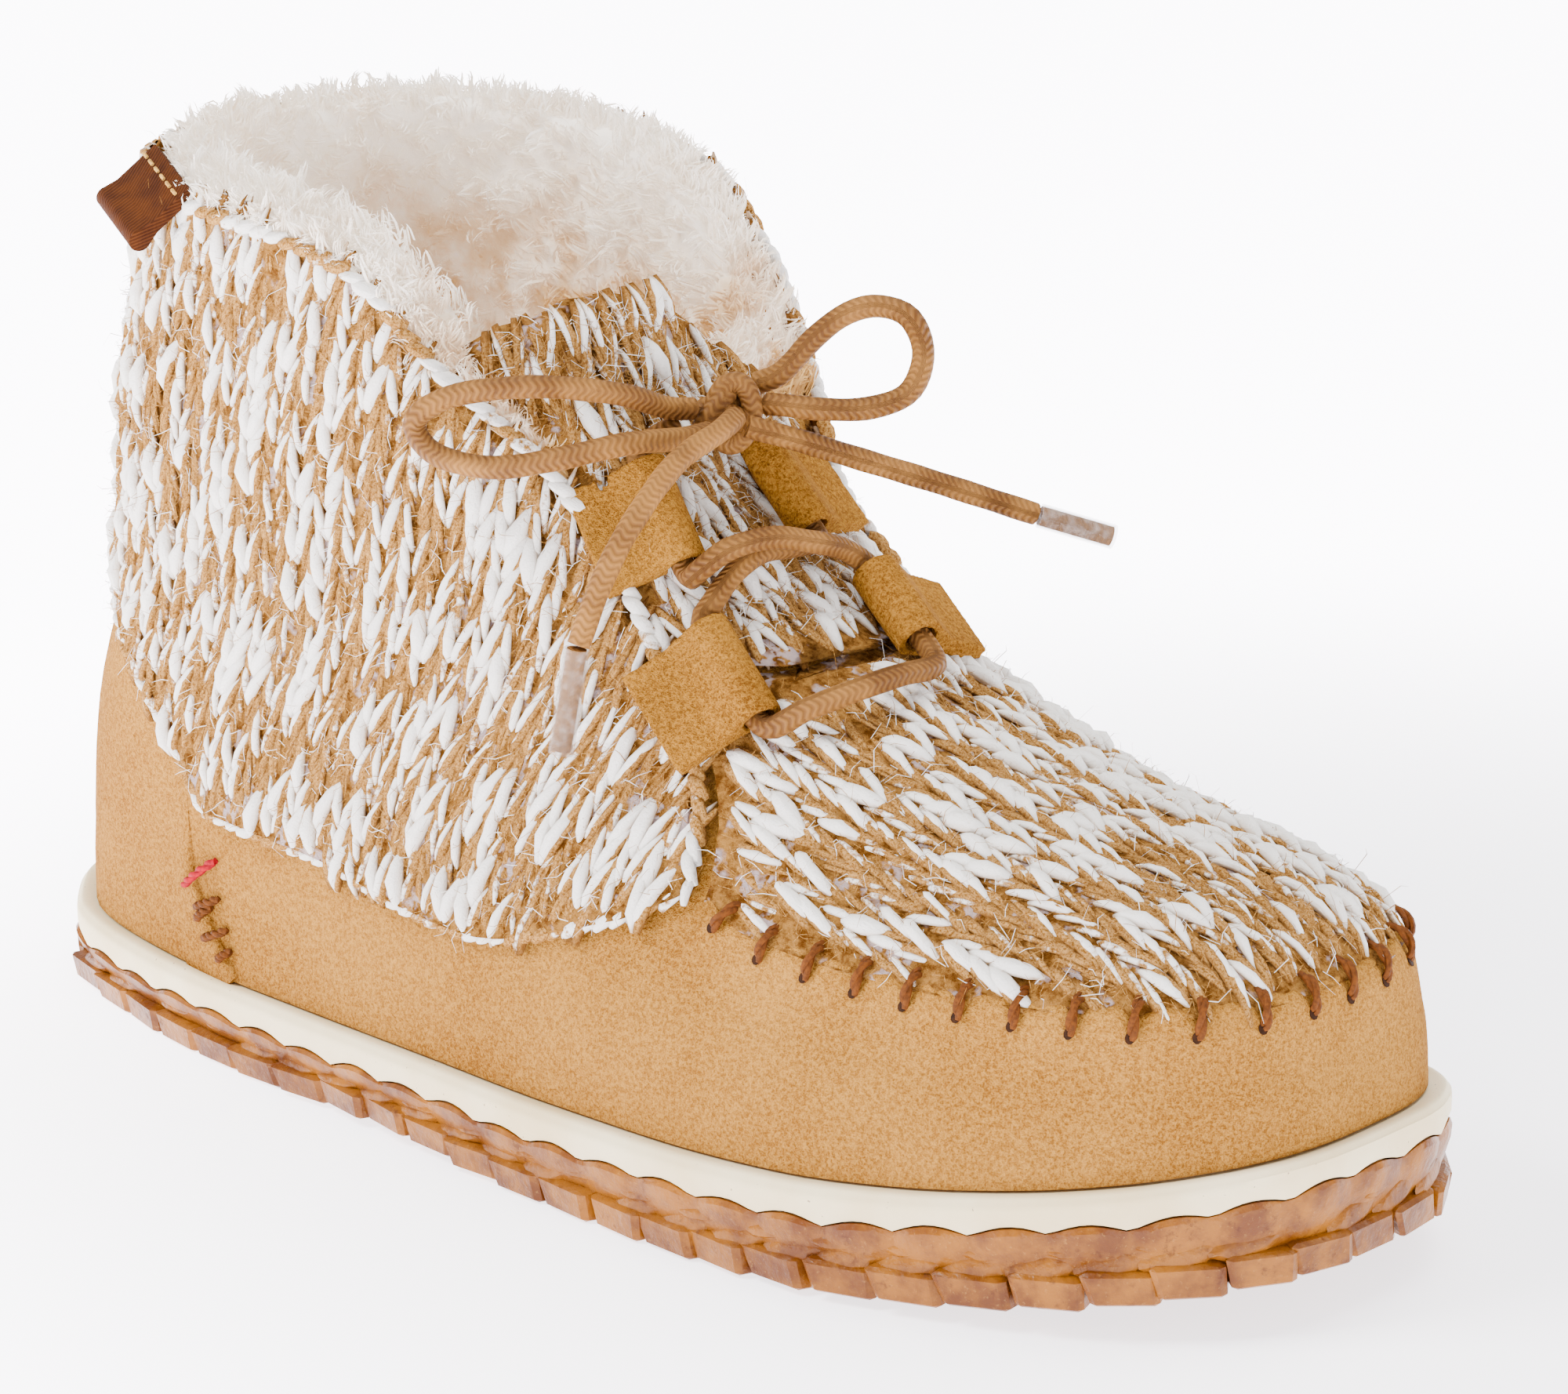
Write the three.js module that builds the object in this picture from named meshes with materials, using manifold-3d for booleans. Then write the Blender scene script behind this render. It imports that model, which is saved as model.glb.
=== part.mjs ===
// Slipper boot, right shoe: knitted quarters, vamp plug and tongue on a suede foot, over a cream
// foxing layer and a gum rubber outsole with lugs round its side.
// Frame: millimetres, +X to the toe, -Y the outer side of the foot, +Z up, the floor at Z = 0 and
// the origin under the middle of the boot's bounding box, measured without the bow.
import * as THREE from "three";
import { mergeVertices } from "three/addons/utils/BufferGeometryUtils.js";
import Module from "manifold-3d";

const wasm = await Module();
wasm.setup();

// Driving dimensions of the sole
const SOLE_LENGTH = 262;
const HALF_LENGTH = SOLE_LENGTH / 2;
const TOE_SPRING = 9.4;
const TOE_SPRING_START = 35;
const HEEL_SPRING = 3.2;
const HEEL_SPRING_START = -95;
const ARCH_LIFT = 1.4;
const ARCH_FROM = -62;
const ARCH_TO = 8;
const SIDE_HEIGHT_HEEL = 12.4;
const SIDE_HEIGHT_TOE = 18.3;
const FOXING_HEIGHT = 5.6;
const TREAD_DEPTH = 3.2;
const WAVE_PITCH = 13;
const WAVE_HEIGHT = 1.1;
const FIT_GAP = 0.3;
const LUG_ROOT = 2.4;
const RIM_LUGS = { count: 60, length: 8, depth: 11, inset: 0.8 };
const BAR_LUGS = { from: -104, to: 108, pitch: 16.2, length: 9.6, rimClearance: 17 };

// The sole's outline is drawn round the line of the last. The widest places of the knit and the
// sole are not the same distance from it, so the finished boot is moved by this much.
const CENTRING = 1.6;

// Driving dimensions of the upper
const RIM_LEDGE = 2.8;
const WALL = 2.6;
const KNIT = 3;
const SHAFT_HALF_WIDTH = { outer: 37.5, inner: 44.5 };
const BACK_RADIUS = 38;
const BACK_SQUARENESS = 2.05;
const FOOT_BLEND_FROM = 22;
const FOOT_BLEND_TO = 78;
const HEEL_STRETCH_FROM = -60;
const FORM_FLOOR = 2;
const INNER_FULLNESS = 1.6;
const INSOLE = 5;
const FUR = 6;
const FUR_RISE = 3;
const FUR_BOTTOM = 84;
const TONGUE = 3;

// Sections of the meshes
const RIM_STEPS = 42;
const FAN_STEPS = 27;
const RAY_STEPS = 9;
const CUTTER_REACH = 90;

// Outline of the sole seen from above, widest edge: half widths to the outer and inner side
const SOLE_OUTLINE = [
  { x: -131, outer: 0, inner: 0 },
  { x: -128.5, outer: 13, inner: 13 },
  { x: -124, outer: 20.2, inner: 20 },
  { x: -115, outer: 28.3, inner: 27.6 },
  { x: -100, outer: 33.5, inner: 32.5 },
  { x: -80, outer: 38.5, inner: 33.8 },
  { x: -50, outer: 42.5, inner: 32.5 },
  { x: -20, outer: 46, inner: 32 },
  { x: 10, outer: 49.5, inner: 35.5 },
  { x: 40, outer: 51, inner: 41.5 },
  { x: 60, outer: 50.4, inner: 45 },
  { x: 80, outer: 47, inner: 46.5 },
  { x: 100, outer: 40, inner: 45 },
  { x: 113, outer: 32.3, inner: 40.5 },
  { x: 122, outer: 23.5, inner: 34 },
  { x: 128, outer: 14, inner: 25 },
  { x: 130.5, outer: 5.5, inner: 17 },
  { x: 131, outer: -4, inner: 4 },
];

// Back of the heel and shaft seen from the side
const BACK = [
  { z: 2, x: -127.2 },
  { z: 20, x: -127.4 },
  { z: 35, x: -126 },
  { z: 50, x: -122.8 },
  { z: 62, x: -118.6 },
  { z: 74, x: -113.8 },
  { z: 90, x: -111 },
  { z: 106, x: -110 },
  { z: 118, x: -107.6 },
  { z: 130, x: -105 },
  { z: 145, x: -102.2 },
  { z: 170, x: -100.5 },
];

// Rays that fan from the toe to the shaft: each runs from the sole or the back (from) to the top
// of the foot (to). full is the share of the ray at full width, square the roundness of the rest.
const FAN = [
  { fromX: 128, fromZ: FORM_FLOOR, toX: 128, toZ: 25, full: 0.2, square: 2.6 },
  { fromX: 127.4, fromZ: FORM_FLOOR, toX: 127.4, toZ: 31, full: 0.2, square: 2.6 },
  { fromX: 126, fromZ: FORM_FLOOR, toX: 126, toZ: 39, full: 0.22, square: 2.6 },
  { fromX: 123.4, fromZ: FORM_FLOOR, toX: 123.4, toZ: 46.5, full: 0.24, square: 2.6 },
  { fromX: 119, fromZ: FORM_FLOOR, toX: 119, toZ: 52, full: 0.26, square: 2.6 },
  { fromX: 111, fromZ: FORM_FLOOR, toX: 111, toZ: 57, full: 0.27, square: 2.6 },
  { fromX: 98, fromZ: FORM_FLOOR, toX: 98, toZ: 61.2, full: 0.27, square: 2.5 },
  { fromX: 82, fromZ: FORM_FLOOR, toX: 82, toZ: 64.9, full: 0.27, square: 2.4 },
  { fromX: 66, fromZ: FORM_FLOOR, toX: 66, toZ: 68.8, full: 0.26, square: 2.3 },
  { fromX: 46, fromZ: FORM_FLOOR, toX: 51.5, toZ: 73.6, full: 0.26, square: 2.3 },
  { fromX: 24, fromZ: FORM_FLOOR, toX: 39.2, toZ: 78.4, full: 0.28, square: 2.3 },
  { fromX: 0, fromZ: FORM_FLOOR, toX: 29.3, toZ: 83.2, full: 0.3, square: 2.4 },
  { fromX: -28, fromZ: FORM_FLOOR, toX: 21, toZ: 88.9, full: 0.33, square: 2.5 },
  { fromX: -60, fromZ: FORM_FLOOR, toX: 13.6, toZ: 95.2, full: 0.37, square: 2.6 },
  { fromX: -92, fromZ: FORM_FLOOR, toX: 6.7, toZ: 101.8, full: 0.4, square: 2.7 },
  { fromX: -116, fromZ: 6, toX: 0.4, toZ: 108.6, full: 0.43, square: 2.8 },
  { fromX: -126.8, fromZ: 28, toX: -5, toZ: 115.6, full: 0.45, square: 2.9 },
  { fromX: -122.8, fromZ: 50, toX: -8.6, toZ: 122.8, full: 0.45, square: 3 },
  { fromX: -114.1, fromZ: 73, toX: -10.8, toZ: 130, full: 0.45, square: 3.1 },
  { fromX: -110.9, fromZ: 92, toX: -13.4, toZ: 136.8, full: 0.45, square: 3.2 },
  { fromX: -109.7, fromZ: 108, toX: -15.4, toZ: 143.5, full: 0.45, square: 3.2 },
  { fromX: -106.7, fromZ: 122, toX: -16.8, toZ: 150, full: 0.45, square: 3.2 },
  { fromX: -104, fromZ: 136, toX: -17.8, toZ: 156, full: 0.45, square: 3.2 },
  { fromX: -102.6, fromZ: 150, toX: -18.5, toZ: 162, full: 0.45, square: 3.2 },
  { fromX: -101, fromZ: 164, toX: -19, toZ: 169, full: 0.45, square: 3.2 },
];

// Lines drawn on the side of the upper, as seen from its outer side
const COLLAR_LINE = [
  { x: -150, z: 144.5 },
  { x: -105, z: 144.2 },
  { x: -85, z: 143.2 },
  { x: -65, z: 142 },
  { x: -50, z: 140.4 },
  { x: -40, z: 137.6 },
  { x: -33.5, z: 133 },
];
const THROAT_LINE = [
  { x: -29, z: 128 },
  { x: -22, z: 120.5 },
  { x: -9, z: 106.5 },
  { x: 3.5, z: 93.5 },
  { x: 12, z: 84 },
];
const QUARTER_FRONT = [
  { x: 23.5, z: 71 },
  { x: 29.5, z: 63 },
  { x: 32.5, z: 52.5 },
];
const QUARTER_BOTTOM = [
  { x: 23.5, z: 47.5 },
  { x: 8, z: 41.8 },
  { x: -6, z: 38.2 },
  { x: -25, z: 38.5 },
  { x: -42, z: 41 },
  { x: -60, z: 41.5 },
  { x: -73, z: 42 },
];
const COUNTER_TOP = [
  { x: -84, z: 57 },
  { x: -102, z: 74 },
  { x: -114, z: 82 },
  { x: -150, z: 82.5 },
];
const THROAT_FLOOR = [
  { x: 12.6, z: 84.4 },
  { x: 18.5, z: 83 },
  { x: 29, z: 82 },
  { x: 42, z: 84.5 },
  { x: 60, z: 96 },
];
const MOC_SEAM = [
  { x: 37.5, z: 53 },
  { x: 44, z: 50 },
  { x: 58, z: 48.3 },
  { x: 75, z: 47.6 },
  { x: 95, z: 48 },
  { x: 112, z: 48.8 },
  { x: 150, z: 50 },
];

// Outline of the tongue seen from the front
const TONGUE_OUTLINE = [
  { y: -36, z: 60 },
  { y: 36, z: 60 },
  { y: 29, z: 100 },
  { y: 18, z: 116 },
  { y: 11, z: 124 },
  { y: 4, z: 129.5 },
  { y: -4, z: 132 },
  { y: -14, z: 132.5 },
  { y: -24, z: 129.5 },
  { y: -31, z: 124 },
  { y: -36, z: 104 },
];

// Folded suede straps over the throat: the middle of the sewn end, the middle of the fold that
// holds the lace, and the direction of the fold
const KEEPERS = [
  {
    name: "keeper_outer_upper",
    sewn: { x: 0.3, y: -26.2, z: 98 },
    fold: { x: 6.9, y: -16.6, z: 102.8 },
    along: { x: 0.66, y: -0.19, z: -0.72 },
    width: 18,
  },
  {
    name: "keeper_outer_lower",
    sewn: { x: 19.2, y: -32.5, z: 75.1 },
    fold: { x: 27.8, y: -23.7, z: 82.8 },
    along: { x: 0.77, y: -0.15, z: -0.62 },
    width: 18,
  },
  {
    name: "keeper_inner_upper",
    sewn: { x: 10.7, y: 20, z: 99.4 },
    fold: { x: 11, y: 6.3, z: 103.4 },
    along: { x: 0.75, y: -0.05, z: -0.66 },
    width: 16.5,
  },
  {
    name: "keeper_inner_lower",
    sewn: { x: 32.6, y: 21, z: 84.2 },
    fold: { x: 36.8, y: 6.2, z: 86.8 },
    along: { x: 0.84, y: -0.25, z: -0.48 },
    width: 15.5,
  },
];
const STRAP_THICKNESS = 3;
const FOLD_RADIUS = 3.9;
const FOLD_BORE = 2.6;

// A folded woven tab sewn to the rim of the collar at the back of the outer side
const SIDE_TAB = {
  name: "side_tab",
  sewn: { x: -79.3, y: -35.8, z: 146.7 },
  fold: { x: -83, y: -43.2, z: 139 },
  along: { x: 0.87, y: -0.41, z: -0.2 },
  width: 17,
};
const TAB_THICKNESS = 2;
const TAB_FOLD_RADIUS = 1.8;

// The lace: a round cord through the four keepers, and a bow with two ends and their sleeves
const LACE_RADIUS = 1.8;
const SLEEVE_RADIUS = 1.9;
const KNOT = { x: 4.6, y: 0.6, z: 115.4, along: 4.6, across: 5.6, up: 4.6 };
const LACE_ROUTE = [
  { x: 1.6, y: -7.4, z: 113.6 },
  { x: 0.6, y: -11, z: 112.6 },
  { x: 0.2, y: -14.7, z: 110 },
  { x: 6.9, y: -16.6, z: 102.8 },
  { x: 14.4, y: -19, z: 95.2 },
  { x: 17.6, y: -19.6, z: 96.6 },
  { x: 20.2, y: -16, z: 99.6 },
  { x: 22.8, y: -9, z: 100.4 },
  { x: 25, y: -2, z: 98.6 },
  { x: 25.2, y: 4.4, z: 96.2 },
  { x: 26.4, y: 8.4, z: 93.2 },
  { x: 29, y: 8.5, z: 91.2 },
  { x: 36.8, y: 6.2, z: 86.8 },
  { x: 44.2, y: 4, z: 82.8 },
  { x: 46.2, y: 0.8, z: 82.2 },
  { x: 46, y: -6, z: 82.6 },
  { x: 44.4, y: -14, z: 81.8 },
  { x: 41, y: -21.4, z: 79.8 },
  { x: 35.7, y: -25.2, z: 76.8 },
  { x: 27.8, y: -23.7, z: 82.8 },
  { x: 20.4, y: -22.2, z: 88.8 },
  { x: 20.2, y: -19.6, z: 92 },
  { x: 19.8, y: -14, z: 95.6 },
  { x: 19.6, y: -8, z: 97.2 },
  { x: 20.2, y: -1, z: 96.8 },
  { x: 20.2, y: 4, z: 96.4 },
  { x: 18.2, y: 5.9, z: 97 },
  { x: 11, y: 6.3, z: 103.4 },
  { x: 4.2, y: 6.8, z: 109.5 },
];
const BOW_LOOP_OUTER = [
  { x: 3, y: -5.3, z: 116.4 },
  { x: 1.8, y: -10, z: 117.3 },
  { x: 0.4, y: -19, z: 121 },
  { x: -5, y: -31, z: 123.6 },
  { x: -14, y: -38.5, z: 122.4 },
  { x: -18.6, y: -42.6, z: 119.6 },
  { x: -19.4, y: -43.2, z: 116.4 },
  { x: -15.6, y: -42, z: 113 },
  { x: -7.4, y: -38.6, z: 112 },
  { x: 0, y: -32, z: 113.4 },
  { x: 5.2, y: -23, z: 114.8 },
  { x: 6.4, y: -12, z: 113.6 },
  { x: 6.4, y: -5.6, z: 113.2 },
];
const BOW_LOOP_INNER = [
  { x: 5.8, y: 6.4, z: 118.6 },
  { x: 9.2, y: 8.4, z: 120.6 },
  { x: 12.8, y: 12, z: 126.1 },
  { x: 16.6, y: 15, z: 129.9 },
  { x: 20.4, y: 18, z: 131.2 },
  { x: 25.1, y: 20, z: 129.8 },
  { x: 27.1, y: 21, z: 124.3 },
  { x: 26.9, y: 18, z: 118.7 },
  { x: 23.3, y: 13, z: 116.5 },
  { x: 18.4, y: 8, z: 116.4 },
  { x: 12.6, y: 5, z: 116.6 },
  { x: 9.8, y: 4.4, z: 116.4 },
];
const LACE_END_OUTER = [
  { x: 10, y: -3.4, z: 115.8 },
  { x: 12, y: -9, z: 115.2 },
  { x: 13, y: -20, z: 112.6 },
  { x: 15, y: -32, z: 106 },
  { x: 14.6, y: -38, z: 98.5 },
  { x: 13.6, y: -42.4, z: 89 },
];
const SLEEVE_OUTER = [
  { x: 13.5, y: -42.6, z: 88.5 },
  { x: 12, y: -44.8, z: 72.2 },
];
const LACE_END_INNER = [
  { x: 10.6, y: -1.4, z: 114.2 },
  { x: 15, y: 5, z: 111.6 },
  { x: 19.2, y: 16, z: 106.8 },
  { x: 25.1, y: 28, z: 101.5 },
  { x: 33.2, y: 41, z: 95.4 },
];
const SLEEVE_INNER = [
  { x: 33.6, y: 41.6, z: 95.1 },
  { x: 41.4, y: 50.4, z: 91.2 },
];
const CORD_SIDES = 8;
const CORD_STEP = 7;
const LACE_STEP = 4.4;

const SUEDE = new THREE.MeshStandardMaterial({ color: 0xc8a36c, roughness: 0.95 });
const MARL_KNIT = new THREE.MeshStandardMaterial({ color: 0xd9c4a4, roughness: 1 });
const CREAM_FOXING = new THREE.MeshStandardMaterial({ color: 0xf0e8d6, roughness: 0.6 });
const GUM_RUBBER = new THREE.MeshStandardMaterial({ color: 0xb9803f, roughness: 0.45 });
const WOVEN_TAB = new THREE.MeshStandardMaterial({ color: 0x6e371e, roughness: 0.9 });
const LACE_CORD = new THREE.MeshStandardMaterial({ color: 0xa2764a, roughness: 0.6 });
const CLEAR_SLEEVE = new THREE.MeshStandardMaterial({ color: 0xb28a66, roughness: 0.15 });
const SHEARLING = new THREE.MeshStandardMaterial({ color: 0xf2e9d8, roughness: 1 });

// A table's column at a place, smooth between its rows
function columnAt(rows, key, column, at) {
  const last = rows.length - 1;
  if (at <= rows[0][key]) return rows[0][column];
  if (at >= rows[last][key]) return rows[last][column];
  let i = 0;
  while (rows[i + 1][key] < at) i += 1;
  const slope = (k) => (rows[k + 1][column] - rows[k][column]) / (rows[k + 1][key] - rows[k][key]);
  const gradient = (k) => {
    if (k === 0) return slope(0);
    if (k === last) return slope(last - 1);
    const before = slope(k - 1);
    const after = slope(k);
    return before * after <= 0 ? 0 : (2 * before * after) / (before + after);
  };
  const span = rows[i + 1][key] - rows[i][key];
  const u = (at - rows[i][key]) / span;
  const rise = rows[i + 1][column] - rows[i][column];
  const g0 = gradient(i) * span;
  const g1 = gradient(i + 1) * span;
  return rows[i][column] + u * (g0 + u * (3 * rise - 2 * g0 - g1 + u * (g0 + g1 - 2 * rise)));
}

const smooth = (low, high, value) => THREE.MathUtils.smoothstep(value, low, high);

// Heights of the sole's layers
function springHeight(x) {
  const toe = Math.max(0, (x - TOE_SPRING_START) / (HALF_LENGTH - TOE_SPRING_START));
  const heel = Math.max(0, (HEEL_SPRING_START - x) / (HALF_LENGTH + HEEL_SPRING_START));
  return TOE_SPRING * toe ** 2 + HEEL_SPRING * heel ** 2;
}

function treadHeight(x) {
  const along = THREE.MathUtils.clamp((x - ARCH_FROM) / (ARCH_TO - ARCH_FROM), 0, 1);
  return springHeight(x) + ARCH_LIFT * Math.sin(Math.PI * along) ** 2;
}

function footbedHeight(x) {
  const share = (x + HALF_LENGTH) / SOLE_LENGTH;
  return springHeight(x) + THREE.MathUtils.lerp(SIDE_HEIGHT_HEEL, SIDE_HEIGHT_TOE, share);
}

const gumHeight = (x) => footbedHeight(x) - FOXING_HEIGHT;

// One closed body from a three.js geometry or from vertices and faces
function solidFrom(geometry) {
  const bare = new THREE.BufferGeometry();
  bare.setAttribute("position", geometry.getAttribute("position").clone());
  bare.setIndex(geometry.index);
  const merged = mergeVertices(bare, 1e-3);
  const faces = [];
  for (let i = 0; i < merged.index.count; i += 3) {
    const [a, b, c] = [0, 1, 2].map((k) => merged.index.getX(i + k));
    if (a !== b && b !== c && c !== a) faces.push(a, b, c);
  }
  return new wasm.Manifold(
    new wasm.Mesh({
      numProp: 3,
      vertProperties: merged.getAttribute("position").array,
      triVerts: new Uint32Array(faces),
    }),
  );
}

function meshFrom(name, solid, material) {
  const data = solid.getMesh();
  const geometry = new THREE.BufferGeometry();
  const places = new Float32Array(data.numVert * 3);
  for (let i = 0; i < data.numVert; i += 1) {
    const start = i * data.numProp;
    places.set(data.vertProperties.subarray(start, start + 3), i * 3);
  }
  geometry.setAttribute("position", new THREE.BufferAttribute(places, 3));
  geometry.setIndex(new THREE.BufferAttribute(data.triVerts, 1));
  geometry.computeVertexNormals();
  const mesh = new THREE.Mesh(geometry, material.clone());
  mesh.name = name;
  return mesh;
}

// A body skinned over closed loops of equal length, with a flat ladder of faces at each end
function loopsGeometry(loops, closeEnds = true) {
  const count = loops[0].length;
  const places = loops.flat().flatMap((p) => [p.x, p.y, p.z]);
  const faces = [];
  for (let row = 0; row + 1 < loops.length; row += 1) {
    for (let i = 0; i < count; i += 1) {
      const a = row * count + i;
      const b = row * count + ((i + 1) % count);
      faces.push(a, b, b + count, a, b + count, a + count);
    }
  }
  const ladder = (start, turn) => {
    for (let i = 0; i < count / 2; i += 1) {
      const near = [start + i, start + i + 1];
      const far = [start + ((count - i) % count), start + count - i - 1];
      const quad = [near[0], near[1], far[1], near[0], far[1], far[0]];
      faces.push(...(turn ? quad.reverse() : quad));
    }
  };
  if (closeEnds) {
    ladder(0, true);
    ladder((loops.length - 1) * count, false);
  }
  const geometry = new THREE.BufferGeometry();
  geometry.setAttribute("position", new THREE.Float32BufferAttribute(places, 3));
  geometry.setIndex(faces);
  return geometry;
}

// Places along the shoe that divide the rim of the sole into about even steps
function rimStations() {
  const dense = 800;
  const places = Array.from({ length: dense + 1 }, (_, i) => {
    return -HALF_LENGTH * Math.cos((Math.PI * i) / dense);
  });
  const sides = ["outer", "inner"].map((side) => {
    return places.map((x) => new THREE.Vector2(x, columnAt(SOLE_OUTLINE, "x", side, x)));
  });
  const lengths = [0];
  for (let i = 1; i <= dense; i += 1) {
    const steps = sides.map((line) => line[i].distanceTo(line[i - 1]));
    lengths.push(lengths[i - 1] + (steps[0] + steps[1]) / 2);
  }
  return Array.from({ length: RIM_STEPS + 1 }, (_, k) => {
    const wanted = (lengths[dense] * k) / RIM_STEPS;
    let i = 1;
    while (i < dense && lengths[i] < wanted) i += 1;
    const u = (wanted - lengths[i - 1]) / (lengths[i] - lengths[i - 1]);
    return THREE.MathUtils.lerp(places[i - 1], places[i], THREE.MathUtils.clamp(u, 0, 1));
  });
}

const RIM_PLACES = rimStations();

// Closed loop round the sole, from the heel along the outer side to the toe and back
function soleLoop(inset, heightAt) {
  const outer = RIM_PLACES.map((x) => new THREE.Vector2(x, -columnAt(SOLE_OUTLINE, "x", "outer", x)));
  const inner = RIM_PLACES.map((x) => new THREE.Vector2(x, columnAt(SOLE_OUTLINE, "x", "inner", x)));
  const toe = new THREE.Vector2(HALF_LENGTH, 0);
  const rim = [...outer.slice(0, -1), toe, ...inner.reverse().slice(1, -1)];
  const count = rim.length;
  let run = 0;
  return rim.map((p, i) => {
    const before = rim[(i + count - 1) % count];
    const after = rim[(i + 1) % count];
    const along = after.clone().sub(before).normalize();
    run += i > 0 ? p.distanceTo(before) : 0;
    const x = p.x - along.y * inset;
    return new THREE.Vector3(x, p.y + along.x * inset, heightAt(x, run));
  });
}

const wave = (run) => WAVE_HEIGHT * (Math.abs(Math.sin((Math.PI * run) / WAVE_PITCH)) - 0.5);

// A box standing on the tread, turned to the direction of the rim, reaching inward from a point
// A block of the tread that stands on the floor side of the slab and reaches into it
function lug(x, y, turn, length, depth) {
  const height = TREAD_DEPTH + LUG_ROOT;
  const shape = new THREE.BoxGeometry(length, depth, height);
  shape.translate(0, depth / 2, height / 2);
  shape.applyMatrix4(new THREE.Matrix4().makeRotationZ(turn));
  shape.translate(x, y, treadHeight(x));
  return solidFrom(shape);
}

// The row of lugs along the rim, evenly spaced
function rimLugs() {
  const rim = soleLoop(RIM_LUGS.inset, () => 0);
  const line = new THREE.CatmullRomCurve3(rim, true);
  return Array.from({ length: RIM_LUGS.count }, (_, i) => {
    const p = line.getPointAt(i / RIM_LUGS.count);
    const along = line.getTangentAt(i / RIM_LUGS.count);
    return lug(p.x, p.y, Math.atan2(along.y, along.x), RIM_LUGS.length, RIM_LUGS.depth);
  });
}

// Bars across the sole, inside the row of lugs
function barLugs() {
  const bars = [];
  for (let x = BAR_LUGS.from; x <= BAR_LUGS.to; x += BAR_LUGS.pitch) {
    const low = -columnAt(SOLE_OUTLINE, "x", "outer", x) + BAR_LUGS.rimClearance;
    const high = columnAt(SOLE_OUTLINE, "x", "inner", x) - BAR_LUGS.rimClearance;
    if (high - low > BAR_LUGS.length) bars.push(lug(x, low, 0, BAR_LUGS.length, high - low));
  }
  return bars;
}

function outsoleSolid() {
  const under = (x) => treadHeight(x) + TREAD_DEPTH;
  const slab = solidFrom(
    loopsGeometry([
      soleLoop(1.6, under),
      soleLoop(0.1, (x) => treadHeight(x) + TREAD_DEPTH + LUG_ROOT),
      soleLoop(0, (x, run) => gumHeight(x) + wave(run)),
      soleLoop(1.6, (x, run) => gumHeight(x) + wave(run)),
      soleLoop(4.5, (x) => gumHeight(x) - FIT_GAP),
    ]),
  );
  return [...rimLugs(), ...barLugs()].reduce((body, next) => body.add(next), slab);
}

function midsoleSolid() {
  const low = (x) => gumHeight(x) + 2 * FIT_GAP;
  const lowWave = (x, run) => gumHeight(x) + wave(run) + FIT_GAP;
  return solidFrom(
    loopsGeometry([
      soleLoop(4.5, low),
      soleLoop(1.6, lowWave),
      soleLoop(0.5, lowWave),
      soleLoop(0.3, (x) => footbedHeight(x) - 1.6),
      soleLoop(1, footbedHeight),
      soleLoop(6.5, (x) => footbedHeight(x) - FIT_GAP),
    ]),
  );
}

// Half width of the upper at a place of its side view, before the top is rounded over
function halfWidth(side, x, z) {
  const back = columnAt(BACK, "z", "x", z);
  const footBack = BACK[0].x;
  const stretch = (HEEL_STRETCH_FROM - footBack) / (HEEL_STRETCH_FROM - back);
  const footX = x < HEEL_STRETCH_FROM ? HEEL_STRETCH_FROM + (x - HEEL_STRETCH_FROM) * stretch : x;
  const scale = footX < 0 ? HALF_LENGTH / -footBack : HALF_LENGTH / FAN[0].fromX;
  const outline = columnAt(SOLE_OUTLINE, "x", side, footX * scale);
  const foot = Math.max(0, outline) * (1 - RIM_LEDGE / SHAFT_HALF_WIDTH.inner);
  const inward = THREE.MathUtils.clamp((x - back) / BACK_RADIUS, 0, 1);
  const round = (1 - (1 - inward) ** BACK_SQUARENESS) ** (1 / BACK_SQUARENESS);
  const shaft = SHAFT_HALF_WIDTH[side] * round;
  return THREE.MathUtils.lerp(foot, shaft, smooth(FOOT_BLEND_FROM, FOOT_BLEND_TO, z));
}

// Loop of the upper on one ray of the fan: under the foot, up the outer side and down the inner
function rayLoop(row) {
  const pointAt = (share, side) => {
    const x = THREE.MathUtils.lerp(row.fromX, row.toX, share);
    const z = THREE.MathUtils.lerp(row.fromZ, row.toZ, share);
    const past = THREE.MathUtils.clamp((share - row.full) / (1 - row.full), 0, 1);
    const fuller = side === "inner" ? INNER_FULLNESS * smooth(98, 122, row.toZ) : 0;
    const square = row.square + fuller;
    const round = (1 - past ** square) ** (1 / square);
    const sign = side === "outer" ? -1 : 1;
    return new THREE.Vector3(x, sign * halfWidth(side, x, z) * round, z);
  };
  const shares = Array.from({ length: RAY_STEPS + 1 }, (_, k) => {
    return (1 - Math.cos((Math.PI * k) / RAY_STEPS)) / 2;
  });
  const outer = shares.map((share) => pointAt(share, "outer"));
  const inner = shares.map((share) => pointAt(share, "inner"));
  const start = new THREE.Vector3(row.fromX, 0, row.fromZ);
  return [start, ...outer, ...inner.reverse().slice(1)];
}

function fanRow(at) {
  const row = {};
  for (const column of Object.keys(FAN[0])) {
    const rows = FAN.map((r, i) => ({ i, value: r[column] }));
    row[column] = columnAt(rows, "i", "value", at);
  }
  return row;
}

// The upper's closed form, and the same form grown or shrunk along its normals
const formRows = Array.from({ length: FAN_STEPS + 1 }, (_, k) => (k * (FAN.length - 1)) / FAN_STEPS);
const formLoops = formRows.map((at) => rayLoop(fanRow(at)));
const formNormals = normalsOf(formLoops);

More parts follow.
